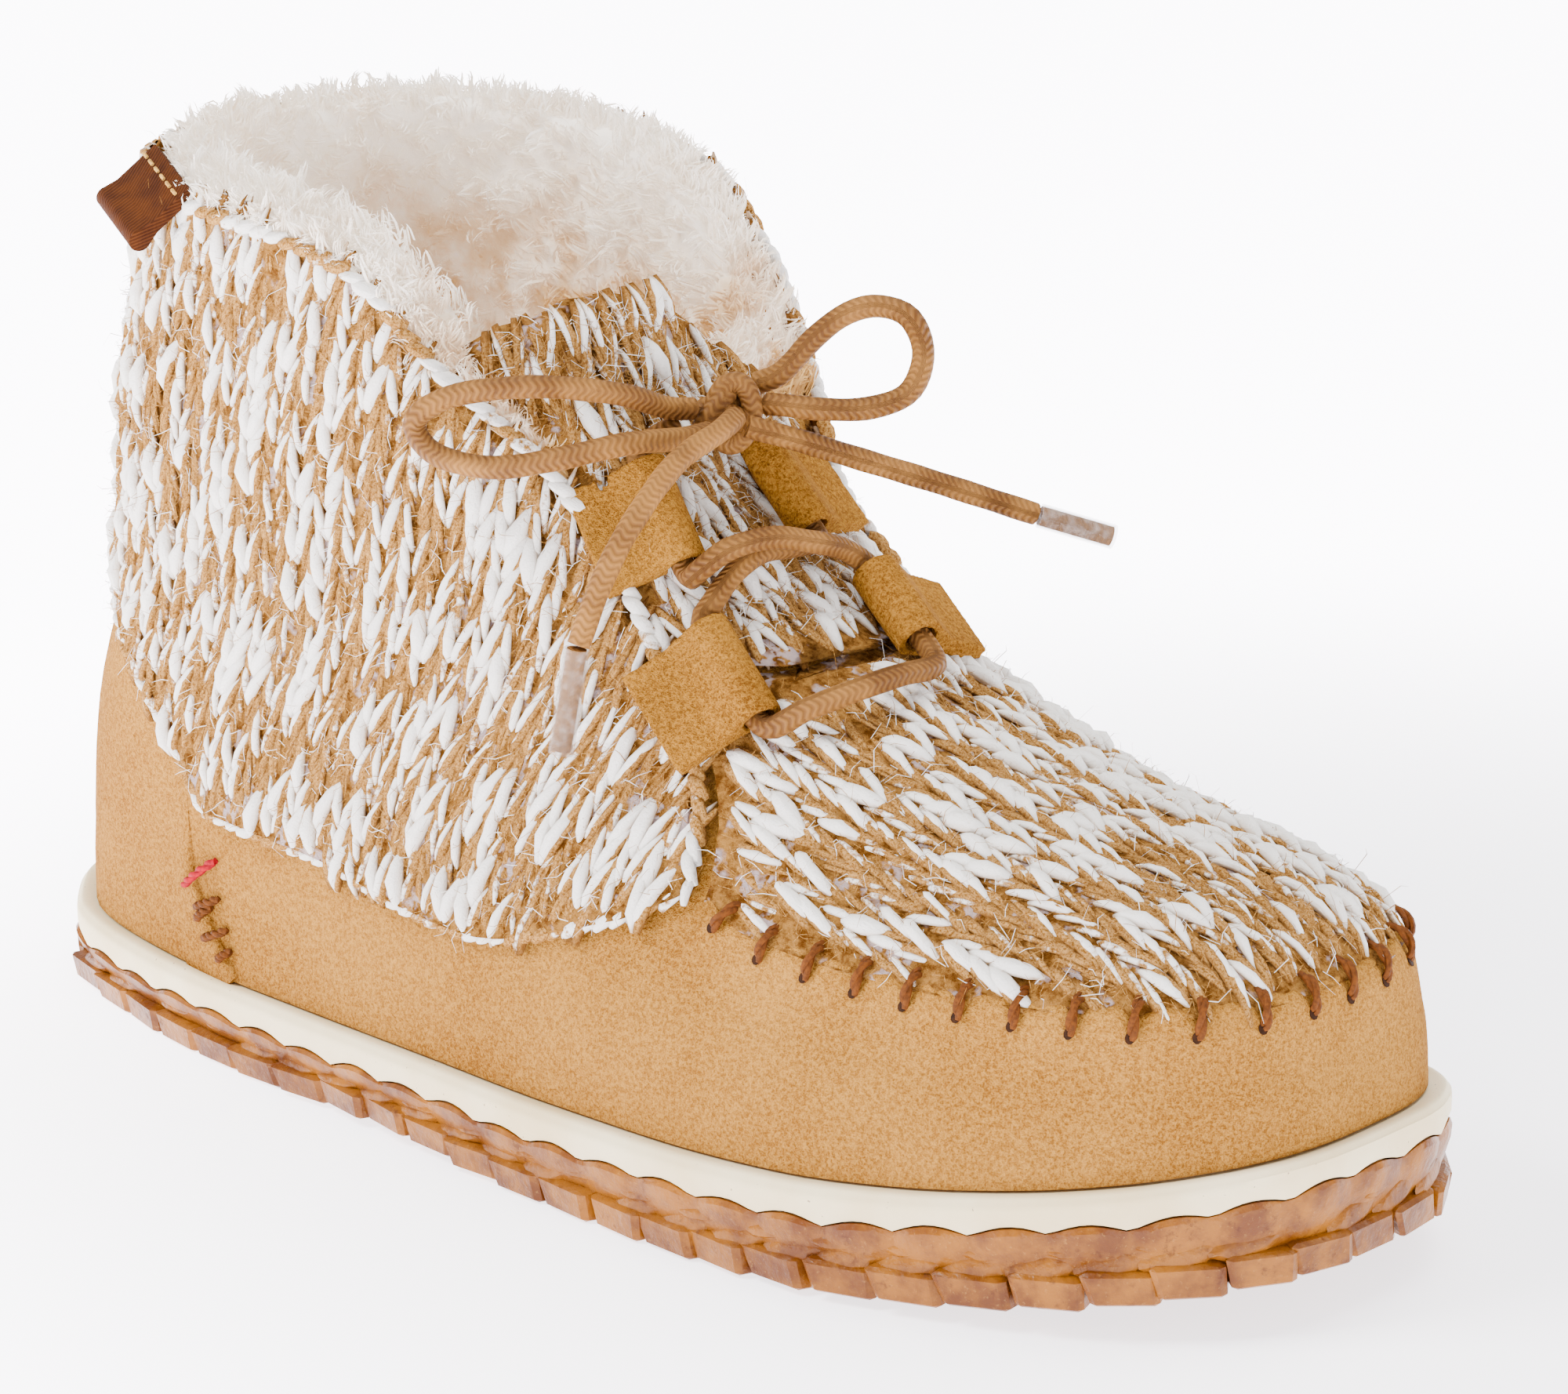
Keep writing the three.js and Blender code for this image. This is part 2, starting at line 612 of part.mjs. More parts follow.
function normalsOf(loops) {
  const geometry = loopsGeometry(loops);
  const merged = mergeVertices(geometry, 1e-3);
  merged.computeVertexNormals();
  const places = merged.getAttribute("position");
  const normals = merged.getAttribute("normal");
  const keyOf = (x, y, z) => [x, y, z].map((v) => Math.round(v * 200)).join();
  const byPlace = new Map();
  for (let i = 0; i < places.count; i += 1) {
    const key = keyOf(places.getX(i), places.getY(i), places.getZ(i));
    byPlace.set(key, new THREE.Vector3().fromBufferAttribute(normals, i));
  }
  return loops.map((loop) => loop.map((p) => {
    const stored = Math.fround;
    return byPlace.get(keyOf(stored(p.x), stored(p.y), stored(p.z))) ?? new THREE.Vector3();
  }));
}

function formSolid(offsetAt) {
  const loops = formLoops.map((loop, row) => {
    const offset = typeof offsetAt === "number" ? offsetAt : offsetAt(formRows[row]);
    return loop.map((p, i) => p.clone().addScaledVector(formNormals[row][i], offset));
  });
  return solidFrom(loopsGeometry(loops));
}

// A cutter through the whole shoe from an outline on its side view
function sideCutter(points) {
  const shape = new THREE.Shape(points.map((p) => new THREE.Vector2(p.x, p.z)));
  const geometry = new THREE.ExtrudeGeometry(shape, { depth: 2 * CUTTER_REACH, bevelEnabled: false });
  geometry.rotateX(Math.PI / 2);
  geometry.translate(0, CUTTER_REACH, 0);
  return solidFrom(geometry);
}

// A cutter along the shoe from an outline on its front view
function frontCutter(points) {
  const shape = new THREE.Shape(points.map((p) => new THREE.Vector2(p.y, p.z)));
  const geometry = new THREE.ExtrudeGeometry(shape, { depth: 4 * CUTTER_REACH, bevelEnabled: false });
  geometry.rotateX(Math.PI / 2);
  geometry.rotateZ(Math.PI / 2);
  geometry.translate(-2 * CUTTER_REACH, 0, 0);
  return solidFrom(geometry);
}

// A smooth run of points through the rows of a line, moved by dx and dz
function drawn(rows, dx = 0, dz = 0, steps = 3) {
  const curve = new THREE.SplineCurve(rows.map((r) => new THREE.Vector2(r.x + dx, r.z + dz)));
  return curve.getPoints((rows.length - 1) * steps).map((p) => ({ x: p.x, z: p.y }));
}

// Everything from the floor up to a little above the foxing's top
function underSole(clearance) {
  const wide = -8;
  return solidFrom(
    loopsGeometry([
      soleLoop(wide, () => -20),
      soleLoop(wide, (x) => footbedHeight(x) + clearance),
      soleLoop(8, (x) => footbedHeight(x) + clearance),
    ]),
  );
}

const TOP = 220;
const FAR = 160;

function collarCutter(rise) {
  return sideCutter([
    ...drawn([...COLLAR_LINE, THROAT_LINE[0]], 0, rise),
    { x: FAR, z: THROAT_LINE[0].z + rise },
    { x: FAR, z: TOP },
    { x: -FAR, z: TOP },
    { x: -FAR, z: COLLAR_LINE[0].z + rise },
  ]);
}

function throatCutter() {
  return sideCutter([
    { x: THROAT_LINE[0].x, z: TOP },
    ...drawn(THROAT_LINE),
    ...drawn(THROAT_FLOOR),
    { x: FAR, z: TOP },
  ]);
}

const knitLayer = () => formSolid(FIT_GAP + KNIT).subtract(formSolid(FIT_GAP));

function upperSolid() {
  return formSolid(0)
    .subtract(formSolid(-WALL))
    .subtract(underSole(FIT_GAP))
    .subtract(collarCutter(0))
    .subtract(throatCutter());
}

function quarterSolid() {
  const region = sideCutter([
    ...drawn([...COLLAR_LINE, ...THROAT_LINE, ...QUARTER_FRONT]),
    ...drawn(QUARTER_BOTTOM),
    ...drawn(COUNTER_TOP),
  ]);
  return knitLayer().intersect(region);
}

function plugSolid() {
  const rearGap = 4.2;
  const region = sideCutter([
    ...drawn(QUARTER_FRONT, rearGap),
    ...drawn(MOC_SEAM),
    { x: FAR, z: TOP },
    ...drawn(THROAT_FLOOR, 0, -FIT_GAP).slice(3).reverse(),
  ]);
  return knitLayer().intersect(region);
}

function tongueSolid() {
  const edgeGap = 1;
  const bottomRow = 10;
  const topRow = 18;
  const sink = (at) => KNIT * smooth(bottomRow, topRow, at);
  const outer = formSolid((at) => FIT_GAP + KNIT - sink(at));
  const inner = formSolid((at) => FIT_GAP + KNIT - TONGUE - sink(at));
  const region = sideCutter([
    ...drawn(THROAT_LINE, edgeGap, 2 * FIT_GAP),
    ...drawn(THROAT_FLOOR, edgeGap, 2 * FIT_GAP).slice(3),
    { x: FAR, z: TOP },
    { x: THROAT_LINE[0].x + edgeGap, z: TOP },
  ]);
  return outer.subtract(inner).intersect(region).intersect(frontCutter(TONGUE_OUTLINE));
}

function furSolid() {
  const ring = formSolid(-WALL - FIT_GAP).subtract(formSolid(-WALL - FIT_GAP - FUR));
  const region = sideCutter([
    ...drawn([...COLLAR_LINE, ...THROAT_LINE.slice(0, 3)], -1.5, FUR_RISE),
    { x: THROAT_LINE[2].x, z: FUR_BOTTOM },
    { x: -FAR, z: FUR_BOTTOM },
  ]);
  return ring.intersect(region);
}

function insoleSolid() {
  const bed = formSolid(-WALL - 0.7);
  const low = solidFrom(
    loopsGeometry([
      soleLoop(0, (x) => footbedHeight(x) + FIT_GAP),
      soleLoop(0, (x) => footbedHeight(x) + FIT_GAP + INSOLE),
    ]),
  );
  return bed.intersect(low);
}

// A folded strap: a flat double layer that opens into a round fold with a bore for the lace
function strapSolid(strap, thickness, foldRadius, foldBore) {
  const sewn = new THREE.Vector3(strap.sewn.x, strap.sewn.y, strap.sewn.z);
  const fold = new THREE.Vector3(strap.fold.x, strap.fold.y, strap.fold.z);
  const along = new THREE.Vector3(strap.along.x, strap.along.y, strap.along.z).normalize();
  const reach = fold.clone().sub(sewn);
  reach.addScaledVector(along, -reach.dot(along));
  const length = reach.length();
  reach.normalize();
  const normal = reach.clone().cross(along);
  const half = thickness / 2;
  const turn = Math.PI - Math.asin(half / foldRadius) - 0.5;
  const shape = new THREE.Shape();
  shape.moveTo(0, -half);
  shape.lineTo(length - foldRadius * 1.7, -half);
  shape.absarc(length, 0, foldRadius, -turn, turn, false);
  shape.lineTo(length - foldRadius * 1.7, half);
  shape.lineTo(0, half);
  if (foldBore > 0) shape.holes.push(new THREE.Path().absarc(length, 0, foldBore, 0, 2 * Math.PI, true));
  const settings = { depth: strap.width, bevelEnabled: false, curveSegments: 7 };
  const geometry = new THREE.ExtrudeGeometry(shape, settings);
  geometry.translate(0, 0, -strap.width / 2);
  geometry.applyMatrix4(new THREE.Matrix4().makeBasis(reach, normal, along.clone().negate()));
  const middle = sewn.clone().addScaledVector(along, fold.clone().sub(sewn).dot(along) / 2);
  geometry.translate(middle.x, middle.y, middle.z);
  return solidFrom(geometry);
}

function keeperSolid(keeper) {
  const strap = strapSolid(keeper, STRAP_THICKNESS, FOLD_RADIUS, FOLD_BORE);
  return strap.subtract(formSolid(KNIT + 2 * FIT_GAP));
}

function tabSolid() {
  return strapSolid(SIDE_TAB, TAB_THICKNESS, TAB_FOLD_RADIUS, 0);
}

// A round cord along a centre line
function cordSolid(route, radius, step) {
  const line = new THREE.CatmullRomCurve3(route.map((p) => new THREE.Vector3(p.x, p.y, p.z)));
  line.curveType = "centripetal";
  const round = new THREE.Shape(
    Array.from({ length: CORD_SIDES }, (_, i) => {
      const turn = (2 * Math.PI * i) / CORD_SIDES;
      return new THREE.Vector2(radius * Math.cos(turn), radius * Math.sin(turn));
    }),
  );
  const steps = Math.max(1, Math.round(line.getLength() / step));
  return solidFrom(new THREE.ExtrudeGeometry(round, { steps, extrudePath: line, bevelEnabled: false }));
}

function knotSolid() {
  const ball = new THREE.SphereGeometry(1, 12, 8);
  ball.scale(KNOT.along, KNOT.across, KNOT.up);
  ball.translate(KNOT.x, KNOT.y, KNOT.z);
  return solidFrom(ball);
}

const lasted = new THREE.Group();
lasted.add(meshFrom("outsole", outsoleSolid(), GUM_RUBBER));
lasted.add(meshFrom("midsole_foxing", midsoleSolid(), CREAM_FOXING));
lasted.add(meshFrom("insole", insoleSolid(), SHEARLING));
lasted.add(meshFrom("upper", upperSolid(), SUEDE));
lasted.add(meshFrom("knit_quarters", quarterSolid(), MARL_KNIT));
lasted.add(meshFrom("knit_vamp_plug", plugSolid(), MARL_KNIT));
lasted.add(meshFrom("tongue", tongueSolid(), MARL_KNIT));
lasted.add(meshFrom("fur_collar", furSolid(), SHEARLING));
for (const keeper of KEEPERS) lasted.add(meshFrom(keeper.name, keeperSolid(keeper), SUEDE));
lasted.add(meshFrom("side_tab", tabSolid(), WOVEN_TAB));
lasted.add(meshFrom("lace", cordSolid(LACE_ROUTE, LACE_RADIUS, LACE_STEP), LACE_CORD));
lasted.add(meshFrom("bow_knot", knotSolid(), LACE_CORD));
lasted.add(meshFrom("bow_loop_outer", cordSolid(BOW_LOOP_OUTER, LACE_RADIUS, CORD_STEP), LACE_CORD));
lasted.add(meshFrom("bow_loop_inner", cordSolid(BOW_LOOP_INNER, LACE_RADIUS, CORD_STEP), LACE_CORD));
lasted.add(meshFrom("lace_end_outer", cordSolid(LACE_END_OUTER, LACE_RADIUS, CORD_STEP), LACE_CORD));
lasted.add(meshFrom("lace_end_inner", cordSolid(LACE_END_INNER, LACE_RADIUS, CORD_STEP), LACE_CORD));
lasted.add(meshFrom("aglet_outer", cordSolid(SLEEVE_OUTER, SLEEVE_RADIUS, CORD_STEP * 2), CLEAR_SLEEVE));
lasted.add(meshFrom("aglet_inner", cordSolid(SLEEVE_INNER, SLEEVE_RADIUS, CORD_STEP * 2), CLEAR_SLEEVE));
lasted.position.y = CENTRING;

const boot = new THREE.Group();
boot.name = "slipper_boot";
boot.add(lasted);

export default boot;
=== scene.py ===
"""A slipper boot: knitted quarters, vamp plug and tongue on a suede foot, over a gum rubber sole."""

import logging
import math
from dataclasses import dataclass
from enum import Enum
from typing import Any, Callable, Sequence

import bpy
import numpy as np
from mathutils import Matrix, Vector

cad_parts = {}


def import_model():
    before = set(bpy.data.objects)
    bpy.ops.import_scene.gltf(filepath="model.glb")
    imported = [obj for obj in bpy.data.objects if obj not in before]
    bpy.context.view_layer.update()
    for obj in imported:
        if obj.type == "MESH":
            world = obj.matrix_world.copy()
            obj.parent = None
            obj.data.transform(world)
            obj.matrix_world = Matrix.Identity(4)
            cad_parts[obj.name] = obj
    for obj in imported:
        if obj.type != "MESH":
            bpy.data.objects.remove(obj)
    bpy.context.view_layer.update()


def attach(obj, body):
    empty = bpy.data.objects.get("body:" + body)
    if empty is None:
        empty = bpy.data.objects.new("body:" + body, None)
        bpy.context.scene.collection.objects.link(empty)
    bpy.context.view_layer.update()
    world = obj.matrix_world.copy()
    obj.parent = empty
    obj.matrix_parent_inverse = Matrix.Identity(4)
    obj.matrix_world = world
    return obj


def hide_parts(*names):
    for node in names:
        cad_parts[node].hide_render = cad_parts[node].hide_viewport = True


LOG = logging.getLogger("slipper_boot")
MM = 0.001
CENTRING = np.array([0.0, 1.6, 0.0])
Array = np.ndarray


def metres(points: Any) -> Array:
    """Places of the form, in millimetres, as places of the frame in metres."""
    return (np.asarray(points, float) + CENTRING) * MM


def places_of(obj: bpy.types.Object) -> Array:
    """Places of an object's points, in millimetres of the form."""
    flat = np.empty(len(obj.data.vertices) * 3, np.float32)
    obj.data.vertices.foreach_get("co", flat)
    return flat.reshape(-1, 3) / MM - CENTRING


def unit(v: Array) -> Array:
    """Vectors brought to length one."""
    return v / np.maximum(np.linalg.norm(v, axis=-1, keepdims=True), 1e-9)


class Side(Enum):
    """The two sides of the shoe: the outer one lies at -Y."""

    OUTER = -1
    INNER = 1


# --------------------------------------------------------------------------------------------
# Lines and sections
# --------------------------------------------------------------------------------------------


class Line:
    """A smooth line through a short table of places, monotone between its rows."""

    def __init__(self, places: Sequence[float], values: Sequence[float]) -> None:
        """Stores the rows and their slopes.

        Args:
            places: Rising places of the rows.
            values: Value at each row.
        """
        self.x = np.asarray(places, float)
        self.y = np.asarray(values, float)
        slope = np.diff(self.y) / np.diff(self.x)
        middle = np.zeros(len(self.x))
        a, b = slope[:-1], slope[1:]
        same = a * b > 0
        middle[1:-1][same] = (2 * a * b)[same] / (a + b)[same]
        middle[0], middle[-1] = slope[0], slope[-1]
        self.g = middle

    def __call__(self, at: Any) -> Array:
        """Value of the line at a place.

        Args:
            at: One place or an array of them.

        Returns:
            The values, held level past both ends.
        """
        t = np.clip(np.asarray(at, float), self.x[0], self.x[-1])
        i = np.clip(np.searchsorted(self.x, t, side="right") - 1, 0, len(self.x) - 2)
        span = self.x[i + 1] - self.x[i]
        u = (t - self.x[i]) / span
        rise = self.y[i + 1] - self.y[i]
        g0, g1 = self.g[i] * span, self.g[i + 1] * span
        return self.y[i] + u * (g0 + u * (3 * rise - 2 * g0 - g1 + u * (g0 + g1 - 2 * rise)))


def smoothstep(low: float, high: float, value: Any) -> Array:
    """Smooth step from 0 at low to 1 at high."""
    t = np.clip((np.asarray(value, float) - low) / (high - low), 0, 1)
    return t * t * (3 - 2 * t)


def spline(points: Sequence[tuple[float, ...]], steps: int) -> Array:
    """A smooth run through points, evenly spaced along its length.

    Args:
        points: Places the run passes through.
        steps: Number of stretches of the result.

    Returns:
        An array of steps + 1 places.
    """
    p = np.asarray(points, float)
    ends = np.vstack([2 * p[0] - p[1], p, 2 * p[-1] - p[-2]])
    dense = []
    for k in range(1, len(ends) - 2):
        t = np.linspace(0, 1, 24, endpoint=False)[:, None]
        a, b, c, d = ends[k - 1], ends[k], ends[k + 1], ends[k + 2]
        dense.append(
            0.5 * (2 * b + (c - a) * t + (2 * a - 5 * b + 4 * c - d) * t**2 + (3 * b - a - 3 * c + d) * t**3)
        )
    run = np.vstack([*dense, ends[-2]])
    return evenly(run, steps)


def measure(run: Array) -> Array:
    """Length of a run from its start to each of its places."""
    return np.concatenate([[0], np.cumsum(np.linalg.norm(np.diff(run, axis=0), axis=1))])


def evenly(run: Array, steps: int) -> Array:
    """The same run, divided into stretches of equal length."""
    gone = measure(run)
    wanted = np.linspace(0, gone[-1], steps + 1)
    return np.stack([np.interp(wanted, gone, run[:, k]) for k in range(run.shape[1])], 1)


def inside(polygon: Array, x: Array, z: Array) -> Array:
    """Whether places of the side view lie inside an outline.

    Args:
        polygon: Corners of the outline, x and z.
        x: Places along the shoe.
        z: Heights.

    Returns:
        An array of truth values.
    """
    found = np.zeros(np.shape(x), bool)
    for (x0, z0), (x1, z1) in zip(polygon, np.roll(polygon, -1, axis=0)):
        cross = (z0 > z) != (z1 > z)
        with np.errstate(divide="ignore", invalid="ignore"):
            found ^= cross & (x < (x1 - x0) * (z - z0) / (z1 - z0) + x0)
    return found


def edge_distance(polygon: Array, x: Array, z: Array) -> Array:
    """Distance in the side view from each place to the outline's nearest edge."""
    best = np.full(np.shape(x), 1e9)
    for a, b in zip(polygon, np.roll(polygon, -1, axis=0)):
        d = b - a
        t = np.clip(((x - a[0]) * d[0] + (z - a[1]) * d[1]) / max(d @ d, 1e-9), 0, 1)
        best = np.minimum(best, np.hypot(x - a[0] - t * d[0], z - a[1] - t * d[1]))
    return best


@dataclass(frozen=True)
class SoleLines:
    """Outline and heights of the sole, in millimetres."""

    half_length: float = 131
    toe_spring: float = 9.4
    heel_spring: float = 3.2
    arch_lift: float = 1.4
    side_heel: float = 12.4
    side_toe: float = 18.3
    foxing: float = 5.6
    tread: float = 3.2
    wave_pitch: float = 12.2
    wave_height: float = 1.3
    outline: tuple[tuple[float, float, float], ...] = (
        (-131, 0, 0), (-128.5, 13, 13), (-124, 20.2, 20), (-115, 28.3, 27.6), (-100, 33.5, 32.5),
        (-80, 38.5, 33.8), (-50, 42.5, 32.5), (-20, 46, 32), (10, 49.5, 35.5), (40, 51, 41.5),
        (60, 50.4, 45), (80, 47, 46.5), (100, 40, 45), (113, 32.3, 40.5), (122, 23.5, 34),
        (128, 14, 25), (130.5, 5.5, 17), (131, -4, 4),
    )

    def width(self, side: Side) -> Line:
        """Half width of one side along the shoe."""
        column = 1 if side is Side.OUTER else 2
        return Line([r[0] for r in self.outline], [r[column] for r in self.outline])

    def ground(self, x: Any) -> Array:
        """Height of the tread's underside."""
        x = np.asarray(x, float)
        toe = np.clip((x - 35) / (self.half_length - 35), 0, None)
        heel = np.clip((-95 - x) / (self.half_length - 95), 0, None)
        arch = self.arch_lift * np.sin(np.pi * np.clip((x + 62) / 70, 0, 1)) ** 2
        return self.toe_spring * toe**2 + self.heel_spring * heel**2 + arch

    def footbed(self, x: Any) -> Array:
        """Height of the foxing's top."""
        x = np.asarray(x, float)
        share = (x + self.half_length) / (2 * self.half_length)
        toe = np.clip((x - 35) / (self.half_length - 35), 0, None)
        heel = np.clip((-95 - x) / (self.half_length - 95), 0, None)
        side = self.side_heel + (self.side_toe - self.side_heel) * share
        return self.toe_spring * toe**2 + self.heel_spring * heel**2 + side

    def rim(self, steps: int) -> Array:
        """Places round the sole's edge, evenly spaced, from the heel along the outer side and back.

        Args:
            steps: Number of stretches round the whole edge.

        Returns:
            Columns x, y, outward x, outward y and run along the edge.
        """
        t = np.linspace(0, np.pi, 1200)
        x = -self.half_length * np.cos(t)
        outer = np.stack([x, -self.width(Side.OUTER)(x)], 1)
        inner = np.stack([x, self.width(Side.INNER)(x)], 1)[::-1]
        loop = evenly(np.vstack([outer, inner[1:]]), steps)[:-1]
        around = np.roll(loop, -1, axis=0) - np.roll(loop, 1, axis=0)
        around /= np.linalg.norm(around, axis=1)[:, None]
        stretch = np.linalg.norm(np.diff(np.vstack([loop, loop[:1]]), axis=0), axis=1)
        run = np.concatenate([[0], np.cumsum(stretch)[:-1]])
        return np.column_stack([loop, around[:, 1], -around[:, 0], run])


@dataclass(frozen=True)
class LastLines:
    """The closed form that the upper is made on, as a fan of rays from the toe to the shaft."""

    rim_ledge: float = 2.8
    outer_width: float = 37.5
    inner_width: float = 44.5
    back_radius: float = 38
    back_squareness: float = 2.05
    inner_fullness: float = 1.6
    stretch_from: float = -60
    back: tuple[tuple[float, float], ...] = (
        (2, -127.2), (20, -127.4), (35, -126), (50, -122.8), (62, -118.6), (74, -113.8), (90, -111),
        (106, -110), (118, -107.6), (130, -105), (145, -102.2), (170, -100.5),
    )
    fan: tuple[tuple[float, float, float, float, float, float], ...] = (
        (128, 2, 128, 25, 0.2, 2.6), (127.4, 2, 127.4, 31, 0.2, 2.6), (126, 2, 126, 39, 0.22, 2.6),
        (123.4, 2, 123.4, 46.5, 0.24, 2.6), (119, 2, 119, 52, 0.26, 2.6), (111, 2, 111, 57, 0.27, 2.6),
        (98, 2, 98, 61.2, 0.27, 2.5), (82, 2, 82, 64.9, 0.27, 2.4), (66, 2, 66, 68.8, 0.26, 2.3),
        (46, 2, 51.5, 73.6, 0.26, 2.3), (24, 2, 39.2, 78.4, 0.28, 2.3), (0, 2, 29.3, 83.2, 0.3, 2.4),
        (-28, 2, 21, 88.9, 0.33, 2.5), (-60, 2, 13.6, 95.2, 0.37, 2.6), (-92, 2, 6.7, 101.8, 0.4, 2.7),
        (-116, 6, 0.4, 108.6, 0.43, 2.8), (-126.8, 28, -5, 115.6, 0.45, 2.9),
        (-122.8, 50, -8.6, 122.8, 0.45, 3), (-114.1, 73, -10.8, 130, 0.45, 3.1),
        (-110.9, 92, -13.4, 136.8, 0.45, 3.2), (-109.7, 108, -15.4, 143.5, 0.45, 3.2),
        (-106.7, 122, -16.8, 150, 0.45, 3.2), (-104, 136, -17.8, 156, 0.45, 3.2),
        (-102.6, 150, -18.5, 162, 0.45, 3.2), (-101, 164, -19, 169, 0.45, 3.2),
    )
    collar: tuple[tuple[float, float], ...] = (
        (-150, 144.5), (-105, 144.2), (-85, 143.2), (-65, 142), (-50, 140.4), (-40, 137.6), (-33.5, 133),
    )
    throat: tuple[tuple[float, float], ...] = (
        (-29, 128), (-22, 120.5), (-9, 106.5), (3.5, 93.5), (12, 84),
    )
    quarter_front: tuple[tuple[float, float], ...] = ((23.5, 71), (29.5, 63), (32.5, 52.5))
    quarter_bottom: tuple[tuple[float, float], ...] = (
        (23.5, 47.5), (8, 41.8), (-6, 38.2), (-25, 38.5), (-42, 41), (-60, 41.5), (-73, 42),
    )
    counter: tuple[tuple[float, float], ...] = ((-84, 57), (-102, 74), (-114, 82), (-150, 82.5))
    throat_floor: tuple[tuple[float, float], ...] = (
        (12.6, 84.4), (18.5, 83), (29, 82), (42, 84.5), (60, 96),
    )
    moc_seam: tuple[tuple[float, float], ...] = (
        (37.5, 53), (44, 50), (58, 48.3), (75, 47.6), (95, 48), (112, 48.8), (150, 50),
    )


def drawn(rows: Sequence[tuple[float, float]], dx: float = 0, dz: float = 0, steps: int = 6) -> Array:
    """A smooth side-view line through rows, moved by dx and dz."""
    run = spline([(r[0] + dx, r[1] + dz) for r in rows], (len(rows) - 1) * steps)
    return run


class Last:
    """Places on the upper's form, found from its tables."""

    def __init__(self, lines: LastLines, sole: SoleLines) -> None:
        """Prepares the lines of the fan.

        Args:
            lines: The form's tables.
            sole: The sole's tables, which give the foot its outline.
        """
        self.lines = lines
        self.sole = sole
        self.back = Line([r[0] for r in lines.back], [r[1] for r in lines.back])
        at = range(len(lines.fan))
        self.columns = [Line(at, [row[k] for row in lines.fan]) for k in range(6)]
        self.last_row = len(lines.fan) - 1

    def half_width(self, side: Side, x: Array, z: Array) -> Array:
        """Half width before the top is rounded over."""
        n = self.lines
        back = self.back(z)
        foot_back = n.back[0][1]
        stretch = (n.stretch_from - foot_back) / (n.stretch_from - back)
        foot_x = np.where(x < n.stretch_from, n.stretch_from + (x - n.stretch_from) * stretch, x)
        half = self.sole.half_length
        scale = np.where(foot_x < 0, half / -foot_back, half / n.fan[0][0])
        outline = np.maximum(0, self.sole.width(side)(foot_x * scale))
        foot = outline * (1 - n.rim_ledge / n.inner_width)
        inward = np.clip((x - back) / n.back_radius, 0, 1)
        round_ = (1 - (1 - inward) ** n.back_squareness) ** (1 / n.back_squareness)
        shaft = (n.outer_width if side is Side.OUTER else n.inner_width) * round_
        blend = smoothstep(22, 78, z)
        return foot * (1 - blend) + shaft * blend

    def place(self, at: Array, share: Array, side: Side) -> Array:
        """Places on rays of the fan.

        Args:
            at: Positions between the first and the last ray.
            share: Shares of the ray, 0 at the sole or back and 1 at the top.
            side: Side of the shoe.

        Returns:
            Places in millimetres, with a last axis of three.
        """
        fx, fz, tx, tz, full, square = (c(at) for c in self.columns)
        x = fx + (tx - fx) * share
        z = fz + (tz - fz) * share
        past = np.clip((share - full) / (1 - full), 0, 1)
        if side is Side.INNER:
            square = square + self.lines.inner_fullness * smoothstep(98, 122, tz)
        round_ = (1 - past**square) ** (1 / square)
        y = side.value * self.half_width(side, x, z) * round_
        return np.stack([x, y, z], -1)

    def grid(self, rows: int, steps: int, low: float = 0, high: float | None = None) -> Array:
        """A sheet over the whole form, from the outer sole edge over the top to the inner one.

        Args:
            rows: Number of stretches along the fan.
            steps: Number of stretches from one sole edge to the other, an even number.
            low: First place of the fan.
            high: Last place of the fan, the shaft's top if it isn't given.

        Returns:
            Places of shape rows + 1, steps + 1, 3.
        """
        ats = np.linspace(low, self.last_row if high is None else high, rows + 1)
        dense = (1 - np.cos(np.pi * np.linspace(0, 1, 121))) / 2
        sheet = []
        for at in ats:
            outer = self.place(np.full(121, at), dense, Side.OUTER)
            inner = self.place(np.full(121, at), dense, Side.INNER)
            sheet.append(np.vstack([evenly(outer, steps // 2), evenly(inner[::-1], steps // 2)[1:]]))
        return np.array(sheet)

    def side_y(self, side: Side, x: Array, z: Array) -> Array:
        """Distance from the middle plane to the form at places of the side view."""
        rows = np.linspace(0, self.last_row, 481)
        fx, fz, tx, tz, full, square = (c(rows) for c in self.columns)
        flat_x, flat_z = np.ravel(x).astype(float), np.ravel(z).astype(float)
        dx, dz = tx - fx, tz - fz
        turn = dx[None] * (flat_z[:, None] - fz[None]) - dz[None] * (flat_x[:, None] - fx[None])
        change = (turn[:, :-1] <= 0) & (turn[:, 1:] > 0) | (turn[:, :-1] >= 0) & (turn[:, 1:] < 0)
        k = np.argmax(change, axis=1)
        one = np.arange(len(flat_x))
        a, b = turn[one, k], turn[one, k + 1]
        f = np.where(np.abs(b - a) > 1e-12, a / (a - b + 1e-15), 0)
        at = rows[k] + np.clip(f, 0, 1) * (rows[1] - rows[0])
        fx, fz, tx, tz, full, square = (c(at) for c in self.columns)
        if side is Side.INNER:
            square = square + self.lines.inner_fullness * smoothstep(98, 122, tz)
        long = np.hypot(tx - fx, tz - fz)
        share = ((flat_x - fx) * (tx - fx) + (flat_z - fz) * (tz - fz)) / long**2
        past = np.clip((share - full) / (1 - full), 0, 1)
        round_ = (1 - past**square) ** (1 / square)
        y = self.half_width(side, flat_x, flat_z) * round_
        return np.where(change.any(axis=1), y, 0).reshape(np.shape(x))


